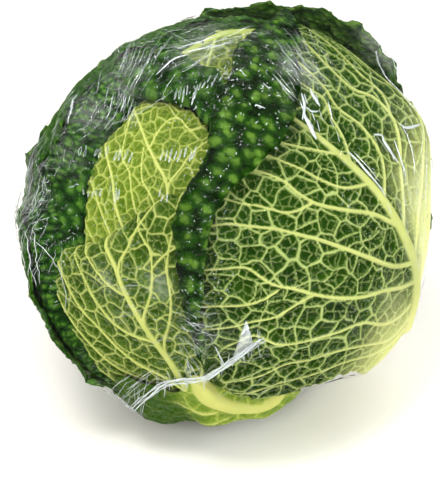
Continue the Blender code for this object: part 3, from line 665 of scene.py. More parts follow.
def build_leaf(index, fine, mid, coarse, fine_b):
    leaf = LEAF_OBJ[index]
    s = leaf.s
    bx, by = margin_points(leaf)

    def state(x, y):
        p, over, f = leaf.base(x, y)
        d = p - CENTRE
        rad = np.linalg.norm(d, axis=1)
        d = d / rad[:, None]
        n = leaf.normal(x, y)
        see = unit_rows(CAM_POS - p)
        facing = (n * see).sum(1)
        hid = hidden_below(index, d, rad - HEART_RADIUS)
        return p, over, d, facing, hid

    def level_a(x, y):
        p, over, d, facing, hid = state(x, y)
        lv = np.where(hid, 2, np.where(facing > -0.12, 0, 1))
        return np.where(over > 2.5, 2, lv) if not s.get('roll_in') else lv

    def level_b(x, y):
        p, over, d, facing, hid = state(x, y)
        q, r, b, w = leaf.flat(x, y)
        lv = np.full(len(x), 2)
        if s.get('roll') and not s.get('roll_in'):
            lv = np.where(over > 0.1, 0, lv)
        else:
            # the inner side shows near a flared margin that faces the camera
            show = (facing < 0.1) & (b - r < 40) & ((d @ TO_CAM) > -0.5)
            lv = np.where(show & (s.get('wave', 0) > 0), 0, np.where(b - r < 8, 1, lv))
        return lv

    ax, ay = spread(leaf, level_a, (fine, mid, coarse))
    qx, qy = spread(leaf, level_b, (fine_b, 1.6, 3.4))
    fa = triangulate(bx, by, ax, ay)
    fb = triangulate(bx, by, qx, qy)
    nb = len(bx)
    out = []
    for k, (ix, iy) in enumerate(((ax, ay), (qx, qy))):
        x, y = np.concatenate([bx, ix]), np.concatenate([by, iy])
        p, over, f = leaf.base(x, y)
        n = leaf.normal(x, y)
        F = leaf.fields(x, y, over)
        q, r, b, w = leaf.flat(x, y)
        e = np.maximum(b - r, 0)
        d = p - CENTRE
        rad = np.linalg.norm(d, axis=1)
        hid = hidden_below(index, d / rad[:, None], rad - HEART_RADIUS)
        adax = smooth(0.5, 4.0, over) if not s.get('roll_in') else np.zeros_like(over)
        flare = smooth(45, 12, b - r) if s.get('wave', 0) else 0.0
        # pits press towards the inner side; near free margins the blisters take over
        fade = np.where(hid, 0.35, 1.0)
        blist = np.maximum(adax, flare * 0.85)
        depth = fade * (s['pit'] * F['pit'] * (1 - 0.45 * blist) + s['blister'] * blist * 1.25 * F['lump'])
        if k == 0 and s.get('rough'):
            depth = s['blister'] * 1.25 * (1 - F['lump'])
        depth = depth * (1 - 0.6 * F['main'] * (1 - adax))
        depth = depth * smooth(-0.5, 1.2, e + 0.9)
        thick = BLADE / 2 * (0.45 + 0.55 * smooth(0, 2.0, e))
        stalk = smooth(0.25, 0.85, f) * smooth(58, 10, np.abs((q - leaf.toward + 180) % 360 - 180)) if s.get('stalk', True) else 0 * x
        swollen = stalk
        if 'pale' in s:
            stalk = np.maximum(stalk, s['pale'](x, y))
        if k == 0:
            v = p - n * (depth)[:, None] + n * (thick + F['ridge'] * np.where(hid, 0.5, 1.0) * (1 - 0.8 * adax) * smooth(0, 3, e)
                                               + 0.9 * swollen)[:, None]
        else:
            v = p - n * (depth + thick)[:, None]
        ax, ay = to_plane(leaf.fr, unit_rows(p))
        A = dict(vein=F['vein'], pit=F['pit'], lump=F['lump'], main=F['main'], f=f, stalk=stalk,
                 cell=F['k3'], along=ax + 200.0, across=ay + 200.0, dark=s['dark'](x, y) if 'dark' in s else 0 * x, edge=smooth(9, 0, e), spot=F['kb'], blist=np.clip(blist + 0 * x, 0, 1))
        out.append((v, A))
    va, vb = out[0][0], out[1][0]
    verts = np.concatenate([va, vb]) * MM
    na = len(va)
    i = np.arange(nb)
    j = (i + 1) % nb
    rim = np.concatenate([np.column_stack([i, na + i, na + j]), np.column_stack([i, na + j, j])])
    faces = np.concatenate([fa, fb[:, ::-1] + na, rim])
    side = np.concatenate([np.zeros(len(fa), int), np.ones(len(fb), int), np.zeros(len(rim), int)])
    attrs = {key: np.concatenate([out[0][1][key], out[1][1][key]]) for key in out[0][1]}
    obj = make_mesh(s['name'] + '_crinkled', verts, faces, attrs, side)
    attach(obj, 'root')
    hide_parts(s['node'])
    return obj


def unit_rows(v):
    return v / np.maximum(np.linalg.norm(v, axis=1, keepdims=True), 1e-12)


def make_mesh(name, verts, faces, attrs=None, side=None, smooth_shade=True):
    mesh = bpy.data.meshes.new(name)
    faces = np.asarray(faces, np.int32)
    mesh.vertices.add(len(verts))
    mesh.vertices.foreach_set('co', np.asarray(verts, np.float32).ravel())
    mesh.loops.add(faces.size)
    mesh.loops.foreach_set('vertex_index', faces.ravel())
    mesh.polygons.add(len(faces))
    mesh.polygons.foreach_set('loop_start', np.arange(0, faces.size, faces.shape[1], dtype=np.int32))
    mesh.polygons.foreach_set('use_smooth', np.full(len(faces), smooth_shade))
    if side is not None:
        mesh.polygons.foreach_set('material_index', side.astype(np.int32))
    for key, val in (attrs or {}).items():
        a = mesh.attributes.new(key, 'FLOAT', 'POINT')
        a.data.foreach_set('value', np.asarray(val, np.float32))
    mesh.update()
    mesh.validate()
    obj = bpy.data.objects.new(name, mesh)
    bpy.context.collection.objects.link(obj)
    return obj


# --------------------------------------------------------------- materials
def lin(*rgb):
    return tuple((c / 255 / 12.92) if c <= 10 else ((c / 255 + 0.055) / 1.055) ** 2.4 for c in rgb) + (1.0,)


class Nodes:
    def __init__(self, name):
        self.mat = bpy.data.materials.new(name)
        self.mat.use_nodes = True
        self.t = self.mat.node_tree
        self.bsdf = self.t.nodes['Principled BSDF']
        self.out = self.t.nodes['Material Output']

    def new(self, kind, **vals):
        n = self.t.nodes.new(kind)
        for k, v in vals.items():
            setattr(n, k, v)
        return n

    def link(self, a, b):
        self.t.links.new(a, b)

    def attr(self, name):
        n = self.new('ShaderNodeAttribute', attribute_name=name)
        return n.outputs['Fac']

    def math(self, op, a, b=None, c=None, clamp=False):
        n = self.new('ShaderNodeMath', operation=op, use_clamp=clamp)
        for k, v in enumerate((a, b, c)):
            if v is None:
                continue
            if isinstance(v, (int, float)):
                n.inputs[k].default_value = v
            else:
                self.link(v, n.inputs[k])
        return n.outputs[0]

    def mix(self, fac, a, b, mode='MIX'):
        n = self.new('ShaderNodeMix', data_type='RGBA', blend_type=mode)
        for sock, v in ((n.inputs[0], fac), (n.inputs[6], a), (n.inputs[7], b)):
            if isinstance(v, (int, float, tuple)):
                sock.default_value = v
            else:
                self.link(v, sock)
        return n.outputs[2]

    def noise(self, scale, detail=3.0, rough=0.55, vec=None):
        n = self.new('ShaderNodeTexNoise')
        n.inputs['Scale'].default_value = scale
        n.inputs['Detail'].default_value = detail
        n.inputs['Roughness'].default_value = rough
        self.link(vec if vec is not None else self.coord(), n.inputs['Vector'])
        return n.outputs['Fac']

    def domes(self, size):
        at_xy = self.new('ShaderNodeCombineXYZ')
        self.link(self.attr('along'), at_xy.inputs[0])
        self.link(self.attr('across'), at_xy.inputs[1])
        warp = self.new('ShaderNodeVectorMath', operation='ADD')
        shift = self.new('ShaderNodeCombineXYZ')
        self.link(self.math('MULTIPLY', self.noise(150, 2), 2.2), shift.inputs[0])
        self.link(self.math('MULTIPLY', self.noise(190, 2), 2.2), shift.inputs[1])
        self.link(at_xy.outputs[0], warp.inputs[0])
        self.link(shift.outputs[0], warp.inputs[1])
        n = self.new('ShaderNodeTexVoronoi', voronoi_dimensions='2D')
        n.inputs['Scale'].default_value = 1 / size
        n.inputs['Randomness'].default_value = 0.85
        self.link(warp.outputs[0], n.inputs['Vector'])
        d = self.math('MULTIPLY', n.outputs['Distance'], 1.45)
        return self.math('SUBTRACT', 1.0, self.math('MULTIPLY', d, d), clamp=True)

    def coord(self):
        if not hasattr(self, '_c'):
            self._c = self.new('ShaderNodeTexCoord').outputs['Object']
        return self._c

    def bump(self, height, strength, distance, normal=None):
        n = self.new('ShaderNodeBump')
        n.inputs['Strength'].default_value = strength
        n.inputs['Distance'].default_value = distance
        self.link(height, n.inputs['Height'])
        if normal is not None:
            self.link(normal, n.inputs['Normal'])
        return n.outputs['Normal']


def back_material(name, low, high, vein, vein_fine, pale, pale_from, rough=0.42):
    """Outer side of a leaf: green between pale raised veins."""
    m = Nodes(name)
    tone = m.noise(55, 4)
    fine = m.noise(420, 3)
    pit = m.attr('pit')
    blade = m.mix(m.math('MULTIPLY_ADD', tone, 2.2, -0.85, clamp=True), low, high)
    # paler near the veins and darker deep in the pits between them: partly the leaf's own colour, partly painted shade
    # in the hollows
    blade = m.mix(m.math('MULTIPLY', m.math('SUBTRACT', 1.0, pit), 0.62, clamp=True), blade, high)
    blade = m.mix(m.math('MULTIPLY', fine, 0.35), blade, low)
    cell = m.mix(m.math('MULTIPLY', m.math('MULTIPLY', m.attr('cell'), pit), 0.75), blade, low)
    # towards the stalk the blade is thicker and paler
    nearb = m.math('MULTIPLY_ADD', m.attr('stalk'), 1.0, 0.0, clamp=True)
    green = m.mix(nearb, cell, pale)
    vcol = m.mix(m.attr('main'), vein_fine, vein)
    vcol = m.mix(m.math('MULTIPLY', m.noise(140, 2), 0.35), vcol, high)
    vcol = m.mix(m.math('MULTIPLY', nearb, 0.8), vcol, lin(228, 224, 160))
    col = m.mix(m.attr('vein'), green, vcol)
    col = m.mix(m.math('MULTIPLY', m.attr('dark'), 0.88), col, lin(20, 60, 4))
    m.link(col, m.bsdf.inputs['Base Color'])
    m.link(m.math('MULTIPLY_ADD', fine, 0.2, rough - 0.1), m.bsdf.inputs['Roughness'])
    m.link(m.bump(m.noise(600, 2), 0.12, 0.0004), m.bsdf.inputs['Normal'])
    m.bsdf.inputs['Specular IOR Level'].default_value = 0.015
    m.bsdf.inputs['Subsurface Weight'].default_value = 0.02
    m.bsdf.inputs['Subsurface Radius'].default_value = (0.4, 1.0, 0.2)
    m.bsdf.inputs['Subsurface Scale'].default_value = 0.0015
    return m.mat


def face_material(name, crease, body, top, rough=0.42):
    """Inner side of a leaf: dark, finely blistered, coloured by blister height, with painted shade in the creases and
    painted light on the dome tops.
    """
    m = Nodes(name)
    lump = m.attr('lump')
    # colour follows blister height: painted shade in the creases between blisters, painted light on the dome tops
    ramp = m.new('ShaderNodeValToRGB')
    ramp.color_ramp.elements[0].position = 0.26
    ramp.color_ramp.elements[0].color = crease
    ramp.color_ramp.elements[1].position = 0.98
    ramp.color_ramp.elements[1].color = top
    el = ramp.color_ramp.elements.new(0.74)
    el.color = body
    dome = m.domes(3.1)
    rise = m.math('ADD', m.math('MULTIPLY', lump, 0.26), m.math('MULTIPLY', dome, 0.78))
    m.link(m.math('ADD', rise, m.math('MULTIPLY_ADD', m.noise(300, 3), 0.2, -0.12)), ramp.inputs[0])
    tone = m.noise(70, 3)
    col = m.mix(m.math('MULTIPLY_ADD', tone, 1.0, -0.35, clamp=True), ramp.outputs[0], body)
    col = m.mix(m.math('MULTIPLY', m.attr('spot'), 0.35), col, crease)
    m.link(col, m.bsdf.inputs['Base Color'])
    m.link(m.math('MULTIPLY_ADD', m.noise(500, 2), 0.25, rough - 0.12), m.bsdf.inputs['Roughness'])
    m.link(m.bump(m.math('ADD', dome, m.math('MULTIPLY', m.noise(700, 3), 0.25)), 0.5, 0.0011), m.bsdf.inputs['Normal'])
    m.bsdf.inputs['Specular IOR Level'].default_value = 0.02
    return m.mat


FACE_DARK = face_material('leaf_face_dark', lin(1, 12, 0), lin(24, 58, 5), lin(86, 120, 40))
# brighter copy of the face material: painted light on the inner faces of flared leaves that stand in shade
FACE_PAINTED_LIT = face_material('leaf_face_painted_lit', lin(26, 66, 8), lin(84, 134, 40), lin(146, 182, 88))
FACE_MID = face_material('leaf_face_mid', lin(3, 20, 1), lin(26, 64, 9), lin(76, 114, 36))
FACE_PALE = face_material('leaf_face_pale', lin(90, 120, 40), lin(140, 170, 70), lin(190, 205, 110))
BACK_R = back_material('leaf_back_deep', lin(4, 26, 0), lin(46, 80, 2), lin(184, 190, 114), lin(166, 180, 108),
                       lin(208, 214, 138), 0.8)
BACK_T = back_material('leaf_back_shaded', lin(44, 66, 10), lin(96, 116, 40), lin(160, 172, 88), lin(136, 150, 70),
                       lin(170, 180, 100), 0.8)
BACK_L = back_material('leaf_back_grey', lin(26, 52, 2), lin(76, 106, 26), lin(182, 188, 104), lin(168, 176, 100),
                       lin(200, 208, 130), 0.8)
BACK_P = back_material('leaf_back_pale', lin(56, 84, 8), lin(118, 138, 42), lin(186, 192, 110), lin(162, 172, 90),
                       lin(206, 214, 130), 0.8)
BACK_U = back_material('leaf_back_cream', lin(78, 108, 18), lin(136, 158, 58), lin(188, 188, 108), lin(164, 174, 84),
                       lin(216, 206, 148), 0.8)
BACK_D = back_material('leaf_back_dark', lin(10, 38, 2), lin(38, 78, 14), lin(84, 116, 46), lin(56, 92, 28),
                       lin(196, 210, 140), 0.8)

SLOTS = {
    'heart_leaf_left': (FACE_MID, FACE_PALE), 'heart_leaf_front': (BACK_P, FACE_PALE),
    'heart_leaf_top': (BACK_T, FACE_MID), 'wrapper_leaf_rear': (BACK_D, FACE_PAINTED_LIT),
    'wrapper_leaf_front': (BACK_L, FACE_MID), 'wrapper_leaf_left': (BACK_D, FACE_PAINTED_LIT),
    'wrapper_leaf_right': (BACK_R, FACE_DARK), 'wrapper_leaf_back': (BACK_D, FACE_PAINTED_LIT),
    'wrapper_leaf_under': (BACK_U, FACE_MID),
}

K = 1.0
SIZES = {
    'heart_leaf_left': (0.9, 1.6, 4.0, 1.6), 'heart_leaf_front': (0.5, 1.4, 4.0, 1.6),
    'heart_leaf_top': (0.6, 1.4, 4.0, 0.6), 'wrapper_leaf_rear': (0.9, 1.15, 3.2, 0.62),
    'wrapper_leaf_front': (0.5, 1.2, 3.2, 1.6), 'wrapper_leaf_left': (0.8, 1.15, 3.2, 0.62),
    'wrapper_leaf_right': (0.52, 1.2, 3.2, 0.6), 'wrapper_leaf_back': (0.8, 1.15, 3.2, 0.62),
    'wrapper_leaf_under': (0.8, 1.5, 3.2, 1.6),
}
leaf_objects = []
for k, lf in enumerate(LEAF_OBJ):
    t = time.time()
    sz = SIZES[lf.s['name']]
    obj = build_leaf(k, sz[0] * K, sz[1] * K, sz[2], sz[3] * K)
    for mat in SLOTS[lf.s['name']]:
        obj.data.materials.append(mat)
    leaf_objects.append(obj)
    print(lf.s['name'], len(obj.data.vertices), len(obj.data.polygons), round(time.time() - t, 1), 's')


# ---------------------------------------------------------------- heart, stem
def round_cells(d, radius, size, seed):
    """Like cells(), but spread evenly over a ball."""
    rng = np.random.RandomState(seed)
    n = int(4 * math.pi * radius ** 2 / (0.866 * size ** 2))
    k = np.arange(n) + 0.5
    z = 1 - 2 * k / n
    a = k * math.pi * (3 - math.sqrt(5))
    p = np.column_stack([np.sqrt(1 - z * z) * np.cos(a), np.sqrt(1 - z * z) * np.sin(a), z]) * radius
    p = unit_rows(p + rng.uniform(-0.3, 0.3, p.shape) * size) * radius
    tone = rng.uniform(0, 1, n)
    kd = KDTree(n)
    for i, c in enumerate(p):
        kd.insert(c, i)
    kd.balance()
    edge, t = np.empty(len(d)), np.empty(len(d))
    for i, c in enumerate(d * radius):
        (_, j, d1), (_, _, d2) = kd.find_n(c, 2)
        edge[i], t[i] = (d2 - d1) / 2, tone[j]
    return edge, t


def ball_stand(d):
    more = swell(d)
    stand = np.minimum(more, 4.9 + 0.45 * more)
    for leaf, gap in ((LEAF_OBJ[3], 1.4), (LEAF_OBJ[5], 2.8)):
        lx, ly = to_plane(leaf.fr, d)
        q, r, b, w = leaf.flat(lx, ly)
        target = leaf.s['off'](lx, ly, np.clip(r / b, 0, 1), q) - gap
        stand = stand + np.maximum(target - stand, 0) * smooth(13, 0, r - b)
    return stand


def ball_piece():
    bm = bmesh.new()
    bmesh.ops.create_icosphere(bm, subdivisions=6, radius=1.0)
    d = unit_rows(np.array([tuple(v.co) for v in bm.verts]))
    stand = ball_stand(d)
    under = np.zeros(len(d), bool)
    for k, leaf in enumerate(LEAF_OBJ):
        under |= (leaf.height(d) > stand + 0.3) & ((d @ TO_CAM < 0.0) | (k not in (3, 5, 7)))
    shows = ~under & (d @ TOP > -0.75)
    bm.verts.ensure_lookup_table()
    cut = [e for e in bm.edges if shows[e.verts[0].index] and shows[e.verts[1].index]]
    print('ball edges cut', len(cut))
    bmesh.ops.subdivide_edges(bm, edges=cut, cuts=1, use_grid_fill=True)
    bmesh.ops.triangulate(bm, faces=bm.faces[:])
    bm.verts.index_update()
    d = unit_rows(np.array([tuple(v.co) for v in bm.verts]))
    f = np.array([[v.index for v in p.verts] for p in bm.faces])
    bm.free()
    e3, k3 = round_cells(d, 76.0, 8.5, 301)
    eb, kb = round_cells(d, 76.0, 3.6, 305)
    ub, uB = np.clip(eb / 1.6, 0, 1), np.clip(e3 / 3.8, 0, 1)
    pit = np.sqrt(1 - (1 - ub) ** 2) * 0.66 + np.sqrt(1 - (1 - uB) ** 2) * 0.34
    v = place(d, ball_stand(d) - 1.5 * (1 - pit))
    attrs = dict(vein=1 - smooth(0.4, 1.1, e3 / 0.7), pit=pit, main=0 * k3, cell=k3, stalk=0 * k3, dark=0 * k3, along=200 + 90 * np.arctan2(d[:, 0], -d[:, 1]), across=200 + 90 * np.arcsin(np.clip(d[:, 2], -1, 1)),
                 lump=pit, spot=kb)
    obj = make_mesh('heart_ball', v * MM, f, attrs)
    obj.data.materials.append(FACE_MID)
    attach(obj, 'root')
    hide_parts('heart')
    return obj


def stem_piece():
    """Cut stump with a slightly sunken, ringed face and ridged sides."""
    side = unit(np.cross(STEM, (0.0, 1.0, 0.0)))
    other = np.cross(STEM, side)
    n, rows = 96, []
    prof = [(67.2, 13.2), (70, 13.9), (74, 14.8), (78, 15.0), (82, 14.9), (85.3, 14.9), (86.2, 14.6), (86.45, 14.0),
            (86.3, 12.6), (86.0, 11.6), (86.25, 10.6), (86.1, 9.2), (86.3, 7.6), (86.1, 6.0), (86.2, 4.0), (86.0, 2.0)]
    a = np.arange(n) * 2 * math.pi / n
    for h, r in prof:
        rip = 0.22 * np.sin(9 * a + 0.7) + 0.14 * np.sin(17 * a + h * 0.1)
        rr = r + np.where(h < 86.4, rip * (r > 12), 0)
        p = CENTRE + STEM * h + rr[:, None] * (side * np.cos(a)[:, None] + other * np.sin(a)[:, None])
        rows.append(p)
    v = np.concatenate(rows + [(CENTRE + STEM * 67.2)[None], (CENTRE + STEM * 86.1)[None]])
    f = []
    for k in range(len(prof) - 1):
        for i in range(n):
            j = (i + 1) % n
            f += [(k * n + i, k * n + j, (k + 1) * n + j), (k * n + i, (k + 1) * n + j, (k + 1) * n + i)]
    b0, b1, last = len(prof) * n, len(prof) * n + 1, (len(prof) - 1) * n
    for i in range(n):
        j = (i + 1) % n
        f += [(b0, j, i), (b1, last + i, last + j)]
    v0, v1, v2 = (v[np.array(f)[:, c]] for c in range(3))
    vol = (np.cross(v0 - CENTRE, v1 - CENTRE) * (v2 - CENTRE)).sum()
    f = np.array(f)
    if vol < 0:
        f = f[:, ::-1]
    rad = np.concatenate([np.full(n, r) for h, r in prof] + [[0], [0]])
    top = np.concatenate([np.full(n, float(h > 85.5)) for h, r in prof] + [[0], [1]])
    obj = make_mesh('cut_stump', v * MM, f, dict(rad=rad, cut=top))
    m = Nodes('cut_stump')
    rings = m.new('ShaderNodeTexWave', wave_type='RINGS', rings_direction='SPHERICAL')
    rings.inputs['Scale'].default_value = 260
    rings.inputs['Distortion'].default_value = 5
    rings.inputs['Detail'].default_value = 3
    mp = m.new('ShaderNodeVectorMath', operation='SUBTRACT')
    m.link(m.coord(), mp.inputs[0])
    mp.inputs[1].default_value = tuple((CENTRE + STEM * 86.1) * MM)
    m.link(mp.outputs[0], rings.inputs['Vector'])
    col = m.mix(rings.outputs['Fac'], lin(226, 222, 178), lin(206, 200, 150))
    col = m.mix(m.math('MULTIPLY', m.noise(120, 4), 0.5), col, lin(176, 150, 96))
    edge = m.math('MULTIPLY', m.math('GREATER_THAN', m.attr('rad'), 11.8), m.attr('cut'))
    col = m.mix(m.math('MULTIPLY', edge, 0.6), col, lin(168, 176, 104))
    sidecol = m.mix(m.noise(90, 3), lin(198, 206, 140), lin(168, 184, 104))
    col = m.mix(m.attr('cut'), sidecol, col)
    m.link(col, m.bsdf.inputs['Base Color'])
    m.bsdf.inputs['Roughness'].default_value = 0.6
    m.link(m.bump(m.noise(500, 4), 0.5, 0.0006), m.bsdf.inputs['Normal'])
    obj.data.materials.append(m.mat)
    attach(obj, 'root')
    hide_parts('stem')
    return obj


heart_obj = ball_piece()
stem_obj = stem_piece()
print('heart and stem', round(time.time() - T0, 1), 's')


# ------------------------------------------------------------------- film
def everything():
    pts = []
    for o in leaf_objects + [heart_obj, stem_obj]:
        co = np.empty(len(o.data.vertices) * 3, np.float32)
        o.data.vertices.foreach_get('co', co)
        pts.append(co.reshape(-1, 3).astype(float) / MM - CENTRE)
    return np.concatenate(pts)


INSIDE = everything()
RHO = np.linalg.norm(INSIDE, axis=1)
DIRS = INSIDE / RHO[:, None]
BIN = 1.5


def bin_of(d):
    di = np.degrees(np.arccos(np.clip(d @ STEM, -1, 1)))
    az = np.degrees(np.arctan2(d @ AX2, d @ AX1)) % 360.0
    i = np.minimum((di / BIN).astype(int), 119)
    n = np.maximum(1, (360 / BIN * np.sin(np.radians((i + 0.5) * BIN))).astype(int))
    return i * 400 + np.minimum((az / 360 * n).astype(int), n - 1)


keys = bin_of(DIRS)
order = np.lexsort((RHO, keys))
last = np.flatnonzero(np.append(np.diff(keys[order]) > 0, True))
PEAK = order[last]                       # highest point of every bin
LEAF_TOP = np.full(120 * 400, HEART_RADIUS)
LEAF_TOP[keys[PEAK]] = RHO[PEAK]


def pulled_over(d):
    """Distance of taut film in directions d: it spans hollows, sagging a little into wide ones."""
    bm = bmesh.new()
    bmesh.ops.create_icosphere(bm, subdivisions=5, radius=1.0)
    c = unit_rows(np.array([tuple(v.co) for v in bm.verts]))
    bm.free()
    kd = KDTree(len(c))
    for i, p in enumerate(c):
        kd.insert(p, i)
    kd.balance()
    top = np.full(len(c), HEART_RADIUS)
    for p, r in zip(DIRS[PEAK], RHO[PEAK]):
        for _, i, _ in kd.find_range(tuple(p), 0.030):
            top[i] = max(top[i], r)
    c32, t32 = c.astype(np.float32), top.astype(np.float32)
    up = np.empty(len(c), np.float32)
    for k in range(0, len(c), 1000):
        up[k:k + 1000] = (t32[None] - 2 * SAG * (1 - c32[k:k + 1000] @ c32.T)).max(1)
    close = np.empty(len(c), np.float32)
    for k in range(0, len(c), 1000):
        close[k:k + 1000] = (up[None] + 2 * SAG * (1 - c32[k:k + 1000] @ c32.T)).min(1)
    out = np.empty(len(d))
    for k, p in enumerate(d):
        hits = kd.find_n(tuple(p), 3)
        w = [1 / (x[2] + 1e-4) for x in hits]
        out[k] = sum(a * close[x[1]] for a, x in zip(w, hits)) / sum(w)
    return out


def noise3(p, size, seed):
    """Smooth noise in space, -1 to 1."""
    rng = np.random.RandomState(seed)
    tab = rng.uniform(-1, 1, (32, 32, 32))
    g = p / size + 500.0
    i = np.floor(g).astype(int)
    f = g - i
    f = f * f * f * (f * (f * 6 - 15) + 10)
    a, b = i % 32, (i + 1) % 32
    out = 0
    for cx in (0, 1):
        for cy in (0, 1):
            for cz in (0, 1):
                w = (f[:, 0] if cx else 1 - f[:, 0]) * (f[:, 1] if cy else 1 - f[:, 1]) * (f[:, 2] if cz else 1 - f[:, 2])
                out = out + w * tab[(b if cx else a)[:, 0], (b if cy else a)[:, 1], (b if cz else a)[:, 2]]
    return out


FILM_OPENING = 13.0
SAG = 130.0
PULL = unit(np.array([0.62, -0.10, 0.78]))     # main way the film was pulled


# where the film looks milky, partly where it lies doubled and partly as painted sheen where it is seen edge-on: across,
# down, size, strength
VEILS = [(205, 36, 44, 1.6), (118, 62, 40, 1.3), (76, 106, 30, 1.4), (214, 62, 20, 0.7), (372, 62, 28, 2.6),
         (14, 196, 32, 5.5), (300, 72, 30, 1.6), (414, 130, 26, 2.6), (422, 190, 26, 3.0), (424, 250, 26, 2.6),
         (92, 290, 20, 1.2), (154, 292, 17, 1.9), (110, 330, 30, 0.4), (196, 338, 30, 0.8), (112, 400, 24, 1.2), (166, 152, 30, 0.3), (385, 110, 26, 0.8),
         (235, 350, 22, 0.5), (50, 150, 24, 1.0), (350, 330, 36, 0.5), (392, 300, 30, 0.8)]


def film_piece():
    bm = bmesh.new()
    bmesh.ops.create_icosphere(bm, subdivisions=6, radius=1.0)
    d = unit_rows(np.array([tuple(v.co) for v in bm.verts]))
    f = np.array([[v.index for v in p.verts] for p in bm.faces])
    bm.free()
    dist = np.degrees(np.arccos(np.clip(d @ STEM, -1, 1)))
    f = f[(dist[f] >= FILM_OPENING).all(1)]
    used = np.unique(f)
    remap = np.full(len(d), -1)
    remap[used] = np.arange(len(used))
    d, f = d[used], remap[f]
    e = np.concatenate([f[:, [0, 1]], f[:, [1, 2]], f[:, [2, 0]]])
    key = np.sort(e, 1)
    _, first, count = np.unique(key[:, 0] * 10**6 + key[:, 1], return_index=True, return_counts=True)
    rim = e[first[count == 1]]
    rv = np.unique(rim)
    side = unit_rows(d[rv] - (d[rv] @ STEM)[:, None] * STEM)
    a = math.radians(FILM_OPENING)
    d[rv] = STEM * math.cos(a) + side * math.sin(a)
    r = pulled_over(d)
    r = r + 7.0 * np.exp(-np.arccos(np.clip(d @ OUT_LEFT, -1, 1)) ** 2 / 0.030)
    lump = LEAF_TOP[bin_of(d)]
    gap = np.maximum(r - lump, 0)
    # wrinkles run across the way of the pull
    pos = d * r[:, None]
    across = unit(np.cross(PULL, TO_CAM))
    st = np.column_stack([pos @ PULL / 5.0, pos @ across, pos @ np.cross(PULL, across) / 2.0])
    wr = noise3(st, 2.6, 5) * 0.5 + noise3(st, 1.3, 6) * 0.25 + noise3(pos, 12, 7) * 0.4
    out = r + 0.42 + np.clip(wr, -0.2, 1.2) * 0.38 * smooth(0.0, 1.5, gap + 0.6)
    outer = d * out[:, None] + CENTRE
    inner = d * (out - 0.25)[:, None] + CENTRE
    outer[:, 2] = np.maximum(outer[:, 2], 0.02)
    inner[:, 2] = np.maximum(inner[:, 2], 0.27)
    m = len(d)
    sides = np.concatenate([np.column_stack([rim[:, 1], rim[:, 0], rim[:, 0] + m]),
                            np.column_stack([rim[:, 1], rim[:, 0] + m, rim[:, 1] + m])])
    faces = np.concatenate([f, f[:, ::-1] + m, sides])
    part = np.concatenate([np.zeros(len(f), int), np.ones(len(f), int), np.zeros(len(sides), int)])
    haze = smooth(1.0, 7.0, gap)
    veil = np.zeros(m)
    for u, v, size, amount in VEILS:
        ang = np.arccos(np.clip(d @ at(u, v), -1, 1)) * 87 / 0.415
        veil = np.maximum(veil, amount * np.exp(-(ang / size) ** 2))
    obj = make_mesh('film_skin', np.concatenate([outer, inner]) * MM, faces,
                    dict(haze=np.concatenate([haze, haze]), veil=np.concatenate([veil, veil])), part)
    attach(obj, 'root')
    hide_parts('film_wrap')
    return obj, d, out


film_obj, FILM_D, FILM_R = film_piece()
print('film', round(time.time() - T0, 1), 's')

_kd = KDTree(len(FILM_D))
for _i, _d in enumerate(FILM_D):
    _kd.insert(_d, _i)
_kd.balance()


def on_film(d, rise=0.0):
    hits = _kd.find_n(tuple(d), 3)
    w = np.array([1 / (x[2] + 1e-5) for x in hits])
    r = (w * np.array([FILM_R[x[1]] for x in hits])).sum() / w.sum()
    return np.asarray(d) * (r + rise) + CENTRE


def ribbon(path, width, thick, verts, faces, attr, level):
    """A closed, flat-sided strand along a path of points on the film."""
    p = np.array(path)
    n = len(p)
    t = np.gradient(p, axis=0)
    t = unit_rows(t)
    up = unit_rows(p - CENTRE)
    side = unit_rows(np.cross(t, up))
    base = len(verts)
    for k in range(n):
        w = width * math.sin(math.pi * (0.06 + 0.88 * k / (n - 1))) ** 0.7 / 2
        h = thick * math.sin(math.pi * (0.1 + 0.8 * k / (n - 1))) ** 0.5 / 2
        verts += [p[k] + side[k] * w, p[k] + up[k] * h, p[k] - side[k] * w, p[k] - up[k] * h]
        attr += [level] * 4
    for k in range(n - 1):
        a, b = base + 4 * k, base + 4 * (k + 1)
        for c in range(4):
            e = (c + 1) % 4
            faces += [(a + c, b + c, b + e), (a + c, b + e, a + e)]
    faces += [(base, base + 1, base + 2), (base, base + 2, base + 3)]
    z = base + 4 * (n - 1)
    faces += [(z, z + 2, z + 1), (z, z + 3, z + 2)]
